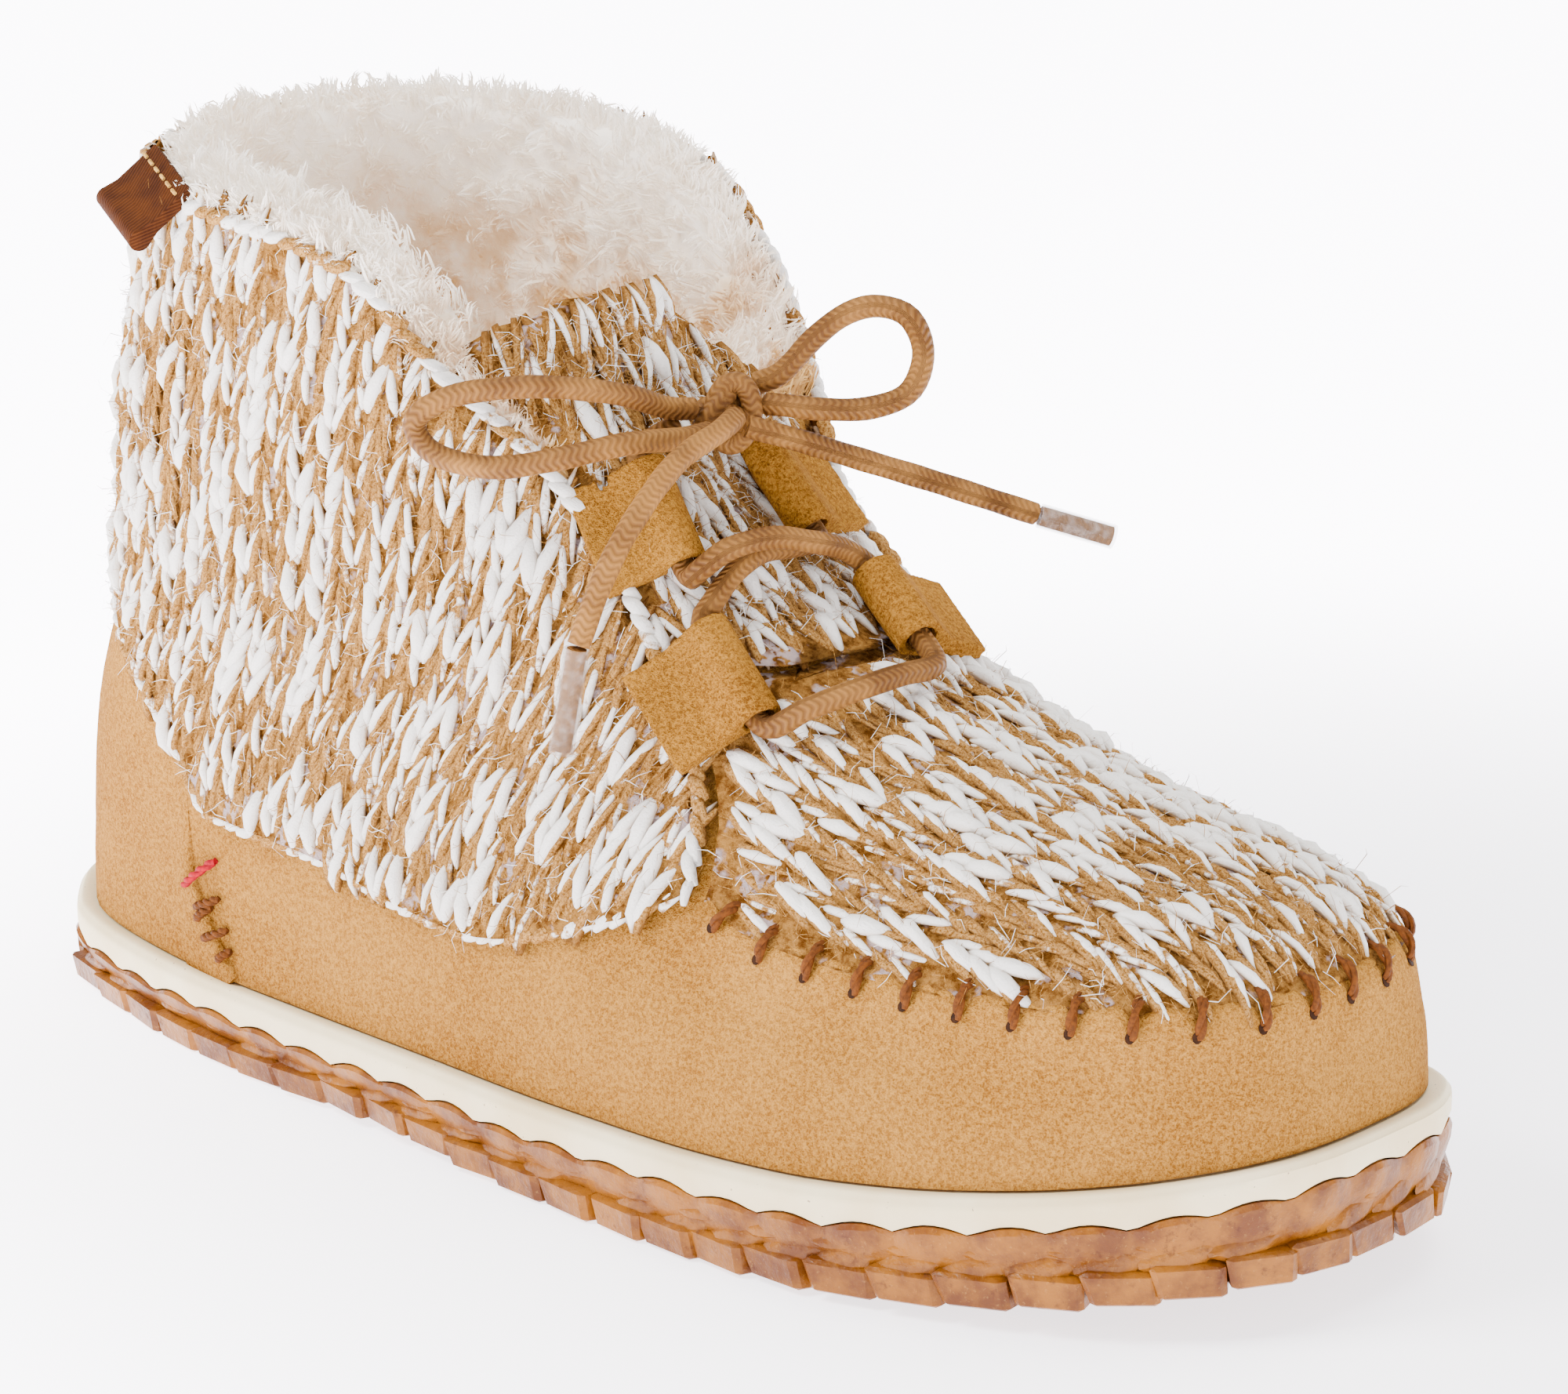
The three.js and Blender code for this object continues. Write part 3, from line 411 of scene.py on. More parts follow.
def sheet_normals(sheet: Array, towards: Array | None = None) -> Array:
    """Outward normals of a sheet of places, by differences of its neighbours."""
    du = np.gradient(sheet, axis=1)
    dv = np.gradient(sheet, axis=0)
    n = np.cross(du, dv)
    n /= np.maximum(np.linalg.norm(n, axis=2), 1e-9)[..., None]
    middle = sheet.reshape(-1, 3).mean(0) if towards is None else towards
    if np.sum(n * (sheet - middle)) < 0:
        n = -n
    return n


class Patch:
    """A sheet of the form with its own measure, on which yarn, tufts and threads are laid."""

    def __init__(self, places: Array, across: Array, along: Array, towards: Array | None = None) -> None:
        """Stores the sheet.

        Args:
            places: Places, rows along by columns across.
            across: Measure of each column in millimetres.
            along: Measure of each row in millimetres.
            towards: A point that the sheet's normals face away from.
        """
        self.p = places
        self.n = sheet_normals(places, towards)
        self.u = across
        self.v = along

    def right_handed(self) -> bool:
        """Whether across, along and outward make a right-handed set."""
        j, i = len(self.v) // 2, len(self.u) // 2
        turn = np.cross(self.p[j, i + 1] - self.p[j, i], self.p[j + 1, i] - self.p[j, i])
        return bool(turn @ self.n[j, i] > 0)

    def at(self, u: Array, v: Array, h: Any = 0) -> Array:
        """Places at measures u and v, h millimetres above the sheet."""
        p, n = self._read(self.p, u, v), self._read(self.n, u, v)
        n = n / np.maximum(np.linalg.norm(n, axis=-1), 1e-9)[..., None]
        return p + n * np.asarray(h)[..., None]

    def _read(self, data: Array, u: Array, v: Array) -> Array:
        """Reads a table of the sheet between its rows and columns."""
        fu = np.interp(u, self.u, np.arange(len(self.u)))
        fv = np.interp(v, self.v, np.arange(len(self.v)))
        i = np.clip(fu.astype(int), 0, len(self.u) - 2)
        j = np.clip(fv.astype(int), 0, len(self.v) - 2)
        a, b = (fu - i)[..., None], (fv - j)[..., None]
        low = data[j, i] * (1 - a) + data[j, i + 1] * a
        high = data[j + 1, i] * (1 - a) + data[j + 1, i + 1] * a
        return low * (1 - b) + high * b


class Surface:
    """The form's whole skin, on which single points are laid."""

    def __init__(self, last: Last) -> None:
        """Samples the form densely."""
        self.sheet = last.grid(300, 200)
        self.p = self.sheet.reshape(-1, 3)
        self.n = sheet_normals(self.sheet, np.array([0.0, 0.0, 50.0])).reshape(-1, 3)

    def lay(self, points: Array, height: Any = 0.0) -> tuple[Array, Array]:
        """Moves points onto the skin.

        Args:
            points: Places near the skin.
            height: Height above it, for all or for each.

        Returns:
            The laid places and the skin's normals there.
        """
        points = np.atleast_2d(points)
        near = np.empty((len(points), 4), int)
        for k, point in enumerate(points):
            near[k] = np.argpartition(((self.p - point) ** 2).sum(1), 4)[:4]
        n = unit(self.n[near].mean(1))
        q = points - n * ((points - self.p[near].mean(1)) * n).sum(1)[:, None]
        return q + n * np.broadcast_to(np.asarray(height, float), len(q))[:, None], n

    def contour(self, line: Line, low: float, steps: int) -> Array:
        """The run round the toe where the skin crosses a side-view line.

        Args:
            line: Height of the line by place along the shoe.
            low: The place where the run starts and ends.
            steps: Number of stretches.

        Returns:
            Places from the outer side round the toe to the inner side.
        """
        above = self.sheet[..., 2] - line(self.sheet[..., 0])
        half = above.shape[1] // 2
        halves = []
        for part, turn in ((slice(0, half + 1), 1), (slice(half, None), -1)):
            a, p = above[:, part][:, ::turn], self.sheet[:, part][:, ::turn]
            run = []
            for row in range(a.shape[0]):
                cross = np.nonzero((a[row, :-1] < 0) & (a[row, 1:] >= 0))[0]
                if len(cross) and p[row, cross[0], 0] >= low:
                    k = cross[0]
                    f = a[row, k] / (a[row, k] - a[row, k + 1])
                    run.append(p[row, k] * (1 - f) + p[row, k + 1] * f)
            halves.append(np.array(run))
        return evenly(np.vstack([halves[0][::-1], halves[1]]), steps)


def shaft_patch(last: Last, side: Side, low: float, high: float, wide: float) -> Patch:
    """Sheet round one side of the shaft: across from the back's middle forward, along by height.

    Args:
        last: The form.
        side: Side of the shoe.
        low: Lowest height.
        high: Highest height.
        wide: Measure across.

    Returns:
        The patch.
    """
    heights = np.linspace(low, high, 72)
    across = np.linspace(0, wide, 100)
    rows = []
    share = (1 - np.cos(np.pi / 2 * np.linspace(0, 1, 160)))
    for z in heights:
        back = float(last.back(z))
        x = back + (95 - back) * share
        y = side.value * last.side_y(side, x, np.full(len(x), z))
        y[0] = 0
        run = np.column_stack([x, y, np.full(len(x), z)])
        on = np.nonzero(np.abs(run[:, 1]) > 0.5)[0]
        gaps = np.nonzero(np.diff(on) > 1)[0]
        last_on = on[gaps[0]] if len(gaps) and gaps[0] > 20 else on[-1]
        run = np.vstack([run[:1], run[on[0] : last_on + 1]])
        gone = measure(run)
        rows.append(np.stack([np.interp(across, gone, run[:, k]) for k in range(3)], 1))
    return Patch(np.array(rows), across, heights, np.array([-45.0, 0.0, 80.0]))


def top_patch(last: Last, low: float, high: float, wide: float) -> Patch:
    """Sheet over the top of the foot: across from the ridge, outer side first, along from the toe.

    Args:
        last: The form.
        low: First place of the fan.
        high: Last place of the fan.
        wide: Measure across to each side.

    Returns:
        The patch.
    """
    ats = np.linspace(low, high, 90)
    across = np.linspace(-wide, wide, 121)
    dense = (1 - np.cos(np.pi * np.linspace(0, 1, 181))) / 2
    rows = []
    for at in ats:
        outer = last.place(np.full(181, at), dense, Side.OUTER)[::-1]
        inner = last.place(np.full(181, at), dense, Side.INNER)[::-1]
        both = []
        for run in (outer, inner):
            gone = measure(run)
            both.append((run, gone))
        left = np.stack([np.interp(-across[across < 0], both[0][1], both[0][0][:, k]) for k in range(3)], 1)
        right = np.stack([np.interp(across[across >= 0], both[1][1], both[1][0][:, k]) for k in range(3)], 1)
        rows.append(np.vstack([left, right]))
    places = np.array(rows)
    ridge = places[:, 60]
    along = measure(ridge)
    return Patch(places, across, along, np.array([20.0, 0.0, 30.0]))


# --------------------------------------------------------------------------------------------
# Bench: the modelling tools
# --------------------------------------------------------------------------------------------


class Bench:
    """Modelling steps that every piece shares."""

    @staticmethod
    def clear() -> None:
        """Leaves edit mode and selects nothing."""
        if bpy.context.object and bpy.context.object.mode != "OBJECT":
            bpy.ops.object.mode_set(mode="OBJECT")
        bpy.ops.object.select_all(action="DESELECT")

    @staticmethod
    def pick(obj: bpy.types.Object) -> None:
        """Selects one object and makes it the active one."""
        Bench.clear()
        obj.hide_viewport = False
        obj.select_set(True)
        bpy.context.view_layer.objects.active = obj

    @staticmethod
    def grid(name: str, places: Array, wrap: bool = False) -> bpy.types.Object:
        """A grid primitive whose points are moved to places.

        Args:
            name: Name of the new object.
            places: Millimetre places, rows by columns.
            wrap: Whether the last column meets the first.

        Returns:
            The object, with its place in its mesh.
        """
        if wrap:
            places = np.concatenate([places, places[:, :1]], axis=1)
        rows, columns = places.shape[:2]
        Bench.clear()
        bpy.ops.mesh.primitive_grid_add(x_subdivisions=columns - 1, y_subdivisions=rows - 1, size=1)
        obj = bpy.context.object
        obj.name = obj.data.name = name
        Bench.shape(obj, places.reshape(-1, 3))
        if wrap:
            Bench.merge(obj)
        return obj

    @staticmethod
    def shape(obj: bpy.types.Object, places: Array) -> None:
        """Moves an object's points to places of the form."""
        obj.data.vertices.foreach_set("co", metres(places).astype(np.float32).ravel())
        obj.data.update()

    @staticmethod
    def join(parts: Sequence[bpy.types.Object], name: str) -> bpy.types.Object:
        """Joins pieces into one, under a new name."""
        Bench.clear()
        for part in parts:
            part.select_set(True)
        bpy.context.view_layer.objects.active = parts[0]
        bpy.ops.object.join()
        parts[0].name = parts[0].data.name = name
        return parts[0]

    @staticmethod
    def spread(pattern: bpy.types.Object, name: str, placed: Sequence[Array]) -> bpy.types.Object:
        """Copies a pattern piece to many shapes and joins the copies.

        Args:
            pattern: The piece that repeats, which is used up.
            name: Name of the joined piece.
            placed: Places of the pattern's points, for each copy.

        Returns:
            The joined piece.
        """
        copies = []
        for k, points in enumerate(placed):
            copy = bpy.data.objects.new(f"{name}_{k}", pattern.data.copy())
            bpy.context.scene.collection.objects.link(copy)
            Bench.shape(copy, points)
            copies.append(copy)
        bpy.data.objects.remove(pattern, do_unlink=True)
        return Bench.join(copies, name)

    @staticmethod
    def merge(obj: bpy.types.Object, distance: float = 2e-5) -> None:
        """Joins doubled points."""
        Bench.pick(obj)
        bpy.ops.object.mode_set(mode="EDIT")
        bpy.ops.mesh.select_all(action="SELECT")
        bpy.ops.mesh.remove_doubles(threshold=distance)
        bpy.ops.object.mode_set(mode="OBJECT")

    @staticmethod
    def close(obj: bpy.types.Object) -> None:
        """Fills the open borders and turns the faces outward."""
        Bench.pick(obj)
        bpy.ops.object.mode_set(mode="EDIT")
        bpy.ops.mesh.select_all(action="SELECT")
        bpy.ops.mesh.remove_doubles(threshold=2e-5)
        bpy.ops.mesh.fill_holes(sides=0)
        bpy.ops.mesh.select_all(action="SELECT")
        bpy.ops.mesh.normals_make_consistent(inside=False)
        bpy.ops.object.mode_set(mode="OBJECT")

    @staticmethod
    def copy_node(node: str, name: str) -> bpy.types.Object:
        """A merged copy of a CAD node."""
        source = bpy.data.objects[node]
        obj = bpy.data.objects.new(name, source.data.copy())
        bpy.context.scene.collection.objects.link(obj)
        obj.data.materials.clear()
        Bench.merge(obj, 1e-5)
        return obj

    @staticmethod
    def mesh(name: str, points: Array, faces: Array) -> bpy.types.Object:
        """An object from millimetre points and faces."""
        data = bpy.data.meshes.new(name)
        data.from_pydata(metres(points).tolist(), [], faces if isinstance(faces, list) else faces.tolist())
        data.update()
        obj = bpy.data.objects.new(name, data)
        bpy.context.scene.collection.objects.link(obj)
        return obj

    @staticmethod
    def modify(obj: bpy.types.Object, kind: str, **settings: Any) -> None:
        """Adds a modifier with its settings and applies it."""
        Bench.pick(obj)
        mod = obj.modifiers.new(kind.title(), kind)
        for key, value in settings.items():
            setattr(mod, key, value)
        bpy.ops.object.modifier_apply(modifier=mod.name)

    @staticmethod
    def cut(obj: bpy.types.Object, cutter: bpy.types.Object) -> None:
        """Cuts an object with another, which is used up."""
        Bench.modify(obj, "BOOLEAN", operation="DIFFERENCE", object=cutter, solver="MANIFOLD")
        bpy.data.objects.remove(cutter, do_unlink=True)

    @staticmethod
    def smooth(obj: bpy.types.Object, degrees: float = 40) -> None:
        """Shades smooth, with sharp edges past an angle."""
        Bench.pick(obj)
        bpy.ops.object.shade_smooth_by_angle(angle=math.radians(degrees))
        Bench.clear()

    @staticmethod
    def soft(obj: bpy.types.Object) -> None:
        """Shades smooth all over."""
        Bench.pick(obj)
        bpy.ops.object.shade_smooth()
        Bench.clear()

    @staticmethod
    def paint(obj: bpy.types.Object, name: str, values: Array) -> None:
        """Stores a number for every point as a named attribute."""
        layer = obj.data.attributes.new(name, "FLOAT", "POINT")
        layer.data.foreach_set("value", np.asarray(values, np.float32))

    @staticmethod
    def finish(
        obj: bpy.types.Object, slot: str, materials: Sequence[bpy.types.Material], nodes: Sequence[str] = ()
    ) -> bpy.types.Object:
        """Dresses a piece, lets it ride on the body and stand for its CAD nodes."""
        if not obj.data.materials:
            for material in materials:
                obj.data.materials.append(material)
        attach(obj, "root")
        if nodes:
            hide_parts(*nodes)
        LOG.info("%s: %d faces", obj.name, len(obj.data.polygons) if obj.type == "MESH" else 0)
        return obj


def side_cutter(name: str, outline: Array, reach: float = 90) -> bpy.types.Object:
    """A prism through the whole shoe from an outline of its side view.

    Args:
        name: Name of the cutter.
        outline: Corners x and z in millimetres.
        reach: Half depth in millimetres.

    Returns:
        The cutter.
    """
    front = np.column_stack([outline[:, 0], np.full(len(outline), -reach), outline[:, 1]])
    face = Bench.mesh(name, front, np.arange(len(outline))[None])
    Bench.pick(face)
    bpy.ops.object.mode_set(mode="EDIT")
    bpy.ops.mesh.select_all(action="SELECT")
    bpy.ops.mesh.extrude_region_move(TRANSFORM_OT_translate={"value": (0, 2 * reach * MM, 0)})
    bpy.ops.mesh.select_all(action="SELECT")
    bpy.ops.mesh.normals_make_consistent(inside=False)
    bpy.ops.object.mode_set(mode="OBJECT")
    return face


def tube_rings(run: Array, radius: Any, sides: int) -> Array:
    """Rings of points along a run.

    Args:
        run: Places of the centre line.
        radius: One radius, or one for each place.
        sides: Points in each ring.

    Returns:
        Points of shape places, sides, 3.
    """
    tangent = np.gradient(run, axis=0)
    tangent /= np.linalg.norm(tangent, axis=1)[:, None]
    side = np.zeros_like(run)
    start = np.cross(tangent[0], [0.3, 0.2, 1.0])
    side[0] = start / np.linalg.norm(start)
    for k in range(1, len(run)):
        s = side[k - 1] - tangent[k] * (side[k - 1] @ tangent[k])
        side[k] = s / np.linalg.norm(s)
    other = np.cross(tangent, side)
    turn = np.linspace(0, 2 * np.pi, sides, endpoint=False)
    thick = np.asarray(radius, float)
    r = np.broadcast_to(thick[:, None] if thick.ndim == 1 else thick, (len(run), sides))
    ring = np.cos(turn)[None, :, None] * side[:, None] + np.sin(turn)[None, :, None] * other[:, None]
    return run[:, None] + ring * r[..., None]


def tube_faces(rings: int, sides: int, start: int = 0) -> list[list[int]]:
    """Faces of a closed tube whose ends are single faces."""
    faces = []
    for k in range(rings - 1):
        for i in range(sides):
            a, b = start + k * sides + i, start + k * sides + (i + 1) % sides
            faces.append([a, b, b + sides, a + sides])
    faces.append([start + i for i in reversed(range(sides))])
    faces.append([start + (rings - 1) * sides + i for i in range(sides)])
    return faces


def cord_piece(name: str, run: Array, radius: Any, sides: int) -> bpy.types.Object:
    """A closed round strand along places, with its measures painted on."""
    thick = np.broadcast_to(np.asarray(radius, float), len(run))
    obj = Bench.mesh(name, tube_rings(run, thick, sides).reshape(-1, 3), tube_faces(len(run), sides))
    gone = measure(run)
    Bench.paint(obj, "around", np.tile(np.arange(sides) / sides, len(run)))
    Bench.paint(obj, "along", np.repeat(gone, sides))
    Bench.smooth(obj, 60)
    return obj


# --------------------------------------------------------------------------------------------
# Finishes
# --------------------------------------------------------------------------------------------


class Value:
    """A shader socket that takes part in Python expressions."""

    def __init__(self, paint: "Paint", socket: bpy.types.NodeSocket) -> None:
        """Wraps a socket of one material."""
        self.paint = paint
        self.socket = socket

    def _math(self, how: str, a: Any, b: Any) -> "Value":
        """A Math node of two values."""
        return self.paint.node("ShaderNodeMath", {"operation": how}, {0: a, 1: b}).out()

    def __add__(self, other: Any) -> "Value":
        """Sum."""
        return self._math("ADD", self, other)

    __radd__ = __add__

    def __mul__(self, other: Any) -> "Value":
        """Product."""
        return self._math("MULTIPLY", self, other)

    __rmul__ = __mul__

    def __sub__(self, other: Any) -> "Value":
        """Difference."""
        return self._math("SUBTRACT", self, other)

    def __rsub__(self, other: Any) -> "Value":
        """Difference the other way round."""
        return self._math("SUBTRACT", other, self)

    def sine(self) -> "Value":
        """Sine."""
        return self._math("SINE", self, 0.0)

    def least(self, other: Any) -> "Value":
        """The smaller of two values."""
        return self._math("MINIMUM", self, other)

    def most(self, other: Any) -> "Value":
        """The larger of two values."""
        return self._math("MAXIMUM", self, other)

    def step(self, low: float, high: float) -> "Value":
        """Smooth step from 0 at low to 1 at high."""
        return self.paint.node(
            "ShaderNodeMapRange",
            {"interpolation_type": "SMOOTHSTEP"},
            {"Value": self, "From Min": low, "From Max": high, "To Min": 0.0, "To Max": 1.0},
        ).out()


class Node:
    """A shader node with its outputs at hand."""

    def __init__(self, paint: "Paint", node: bpy.types.Node) -> None:
        """Wraps a node."""
        self.paint = paint
        self.node = node

    def out(self, name: str | int = 0) -> Value:
        """One of the node's outputs."""
        return Value(self.paint, self.node.outputs[name])


class Paint:
    """One material and the nodes on it."""

    def __init__(self, name: str) -> None:
        """Makes an empty material with its main shader."""
        self.material = bpy.data.materials.new(name)
        self.material.use_nodes = True
        self.tree = self.material.node_tree
        self.tree.nodes.clear()
        self.shader = self.tree.nodes.new("ShaderNodeBsdfPrincipled")
        end = self.tree.nodes.new("ShaderNodeOutputMaterial")
        self.tree.links.new(self.shader.outputs[0], end.inputs["Surface"])

    def node(self, kind: str, settings: dict[str, Any] | None = None, inputs: dict[Any, Any] | None = None) -> Node:
        """Adds a node.

        Args:
            kind: The node's type.
            settings: Its properties, set first.
            inputs: Values or links of its sockets.

        Returns:
            The wrapped node.
        """
        node = self.tree.nodes.new(kind)
        for key, value in (settings or {}).items():
            setattr(node, key, value)
        for key, value in (inputs or {}).items():
            self.feed(node.inputs[key], value)
        return Node(self, node)

    def feed(self, socket: bpy.types.NodeSocket, value: Any) -> None:
        """Sets a socket to a value or links it."""
        if isinstance(value, Value):
            self.tree.links.new(value.socket, socket)
        elif isinstance(value, (tuple, list)) and len(value) == 3 and socket.type == "RGBA":
            socket.default_value = (*value, 1)
        else:
            socket.default_value = value

    def set(self, **sockets: Any) -> None:
        """Feeds sockets of the main shader, with underscores for spaces."""
        for key, value in sockets.items():
            self.feed(self.shader.inputs[key.replace("_", " ")], value)

    def places(self) -> Value:
        """Places on the piece in millimetres."""
        coords = self.node("ShaderNodeTexCoord").out("Object")
        return self.node("ShaderNodeVectorMath", {"operation": "SCALE"}, {0: coords, "Scale": 1000.0}).out()

    def axis(self, vector: Value, name: str) -> Value:
        """One part of a vector."""
        return self.node("ShaderNodeSeparateXYZ", {}, {0: vector}).out(name)

    def number(self, name: str) -> Value:
        """A number stored on the mesh."""
        return self.node("ShaderNodeAttribute", {"attribute_name": name}).out("Fac")

    def noise(self, scale: float, detail: float = 2, vector: Value | None = None, rough: float = 0.5) -> Value:
        """A noise of the given scale per millimetre."""
        inputs = {"Scale": scale, "Detail": detail, "Roughness": rough, "Vector": vector or self.places()}
        return self.node("ShaderNodeTexNoise", {}, inputs).out(0)

    def mix(self, factor: Any, a: Any, b: Any) -> Value:
        """A colour between two."""
        made = self.node("ShaderNodeMix", {"data_type": "RGBA"}, {0: factor})
        self.feed(made.node.inputs[6], a)
        self.feed(made.node.inputs[7], b)
        return made.out(2)

    def bump(self, height: Value, distance: float, strength: float = 1) -> Value:
        """A relief of the given depth in millimetres."""
        inputs = {"Height": height, "Distance": distance * MM, "Strength": strength}
        return self.node("ShaderNodeBump", {}, inputs).out()


Colour = tuple[float, float, float]


@dataclass(frozen=True)
class Suede:
    """Napped split leather."""

    name: str
    light: Colour = (0.47, 0.225, 0.042)
    dark: Colour = (0.185, 0.066, 0.006)
    grain: float = 1.0

    def make(self) -> bpy.types.Material:
        """Builds the material."""
        p = Paint(self.name)
        clouds = p.noise(0.035, 3)
        nap = p.noise(1.5, 3, rough=0.65)
        grit = p.noise(3.4, 2, rough=0.65)
        tone = clouds.step(0.3, 0.72) * 0.28 + nap.step(0.4, 0.6) * 0.42 + grit.step(0.4, 0.6) * 0.42
        rub = p.noise(0.11, 5, rough=0.7).step(0.55, 0.8)
        low = 1 - p.axis(p.places(), "Z").step(12.0, 30.0)
        colour = p.mix(tone - rub * 0.2 - low * 0.12, self.dark, self.light)
        relief = p.bump(grit * 0.8 + nap * 1.4, 0.55 * self.grain, 0.9)
        p.set(Base_Color=colour, Roughness=0.88 + 0.12 * nap, Normal=relief, Specular_IOR_Level=0.04)
        return p.material


@dataclass(frozen=True)
class Yarn:
    """Fuzzy yarn, white slub against a tan strand, with painted shade on the strands' sides and in the low places
    between them.
    """

    name: str
    white: Colour = (0.97, 0.935, 0.88)
    tan: Colour = (0.56, 0.3, 0.09)

    def make(self) -> bpy.types.Material:
        """Builds the material."""
        p = Paint(self.name)
        along, around = p.number("along"), p.number("around")
        stray = p.noise(0.55, 4, rough=0.65)
        mask = (p.number("slub") + (stray - 0.5) * 1.1).step(0.36, 0.54)
        line = {0: around * 8.0 + along * 0.4, 1: along * 0.5, 2: p.number("slub") * 3.0}
        strand = p.noise(1.0, 4, p.node("ShaderNodeCombineXYZ", {}, line).out(), 0.7)
        fluff = p.noise(2.4, 4, rough=0.75)
        warm = p.mix(fluff.step(0.36, 0.62), (0.19, 0.072, 0.011), self.tan)
        pale = p.mix(fluff.step(0.2, 0.55), (0.86, 0.79, 0.7), self.white)
        colour = p.mix(mask, warm, pale)
        # painted shade: dark brown on tan strands and tan on white ones, mixed in on the strands' sides and low
        # strands as the deep number gives them
        shade = p.mix(mask, (0.15, 0.058, 0.011), (0.5, 0.29, 0.11))
        colour = p.mix(((fluff - 0.5) * 0.5 + p.number("deep")).step(0.06, 0.74) * 0.8, colour, shade)
        p.set(
            Base_Color=colour,
            Roughness=1.0,
            Normal=p.bump(strand + fluff * 1.1, 0.55, 0.85),
            Specular_IOR_Level=0.02,
        )
        return p.material


@dataclass(frozen=True)
class Backing:
    """The ground seen between the stitches: tan fluff darkened with painted shade, with the pale lining in places.
    """

    name: str
    light: Colour = (0.36, 0.17, 0.038)
    # painted shade: the dark tone stands in for the shade in the gaps between the stitches
    dark: Colour = (0.1, 0.034, 0.005)
    lining: Colour = (0.55, 0.45, 0.46)

    def make(self) -> bpy.types.Material:
        """Builds the material."""
        p = Paint(self.name)
        tone = p.noise(0.5, 5, rough=0.7).step(0.35, 0.65)
        holes = p.noise(0.16, 3).step(0.55, 0.62) * p.noise(0.6, 2).step(0.4, 0.5)
        colour = p.mix(holes * 0.7, p.mix(tone, self.dark, self.light), self.lining)
        p.set(
            Base_Color=colour,
            Roughness=1.0,
            Normal=p.bump(p.noise(1.6, 4, rough=0.7), 1.2, 0.9),
            Specular_IOR_Level=0.02,
        )
        return p.material


@dataclass(frozen=True)
class Pile:
    """Dense shearling: pale tips, turning gold as painted shade towards the roots and lower in the collar, with a
    painted glow.
    """

    name: str
    tip: Colour = (0.97, 0.9, 0.81)
    # painted shade: the gold of the pile's depths
    root: Colour = (0.62, 0.38, 0.14)
    # painted light: an emission that brightens the pile as if light shone through it
    glow: float = 0.38

    def make(self) -> bpy.types.Material:
        """Builds the material."""
        p = Paint(self.name)
        # painted shade: gold grows lower in the collar, in soft clouds, and towards each blade's root, as the depth
        # number says
        low = 1 - p.axis(p.places(), "Z").step(94.0, 148.0)
        clouds = p.noise(0.065, 4, rough=0.6).step(0.42, 0.64)
        fine = p.noise(0.8, 5, rough=0.7)
        depth = p.number("depth") * 0.2 + clouds * low * 0.95 + low * 0.42
        shade = (depth + (fine - 0.5) * 0.35 + clouds * 0.12 - 0.05).most(0.0)
        p.set(
            Base_Color=p.mix(shade.least(1.0), self.tip, self.root),
            Roughness=1.0,
            Normal=p.bump(p.noise(0.45, 6, rough=0.75), 1.0, 0.6),
            # painted light: the pile glows in its own colour
            Emission_Color=p.mix(shade.least(1.0), self.tip, self.root),
            Emission_Strength=self.glow,
            Specular_IOR_Level=0.02,
        )
        return p.material


@dataclass(frozen=True)
class Gum:
    """Translucent amber rubber with dark flecks."""

    name: str
    light: Colour = (0.29, 0.1, 0.006)
    dark: Colour = (0.115, 0.03, 0.003)
    fleck: Colour = (0.05, 0.011, 0.005)

    def make(self) -> bpy.types.Material:
        """Builds the material."""
        p = Paint(self.name)
        depth = p.noise(0.13, 4, rough=0.6).step(0.32, 0.68)
        flecks = p.noise(0.33, 6, rough=0.72).step(0.56, 0.68)
        motes = p.noise(1.4, 3, rough=0.7).step(0.6, 0.7)
        colour = p.mix(depth, self.dark, self.light)
        colour = p.mix(flecks * 0.55, colour, self.fleck)
        colour = p.mix(motes * 0.25, colour, (0.5, 0.24, 0.06))
        p.set(
            Base_Color=colour,
            Roughness=0.3 + 0.25 * flecks,
            Normal=p.bump(p.noise(0.35, 5, rough=0.6), 0.6, 0.7),
            Specular_IOR_Level=0.22,
        )
        return p.material


@dataclass(frozen=True)
class Rubber:
    """Matt cream rubber of the foxing."""

    name: str
    light: Colour = (0.88, 0.75, 0.48)
    dark: Colour = (0.76, 0.6, 0.33)

    def make(self) -> bpy.types.Material:
        """Builds the material."""
        p = Paint(self.name)
        clouds = p.noise(0.06, 4).step(0.3, 0.75)
        scuff = p.noise(0.5, 6, rough=0.75).step(0.62, 0.75)
        specks = p.noise(1.3, 1).step(0.76, 0.79)
        colour = p.mix(scuff * 0.3, p.mix(clouds, self.light, self.dark), (0.6, 0.4, 0.2))
        p.set(
            Base_Color=p.mix(specks * 0.7, colour, (0.2, 0.1, 0.05)),
            Roughness=0.5 + 0.25 * scuff,
            Normal=p.bump(p.noise(0.8, 4), 0.12, 0.6),
            Specular_IOR_Level=0.2,
        )
        return p.material


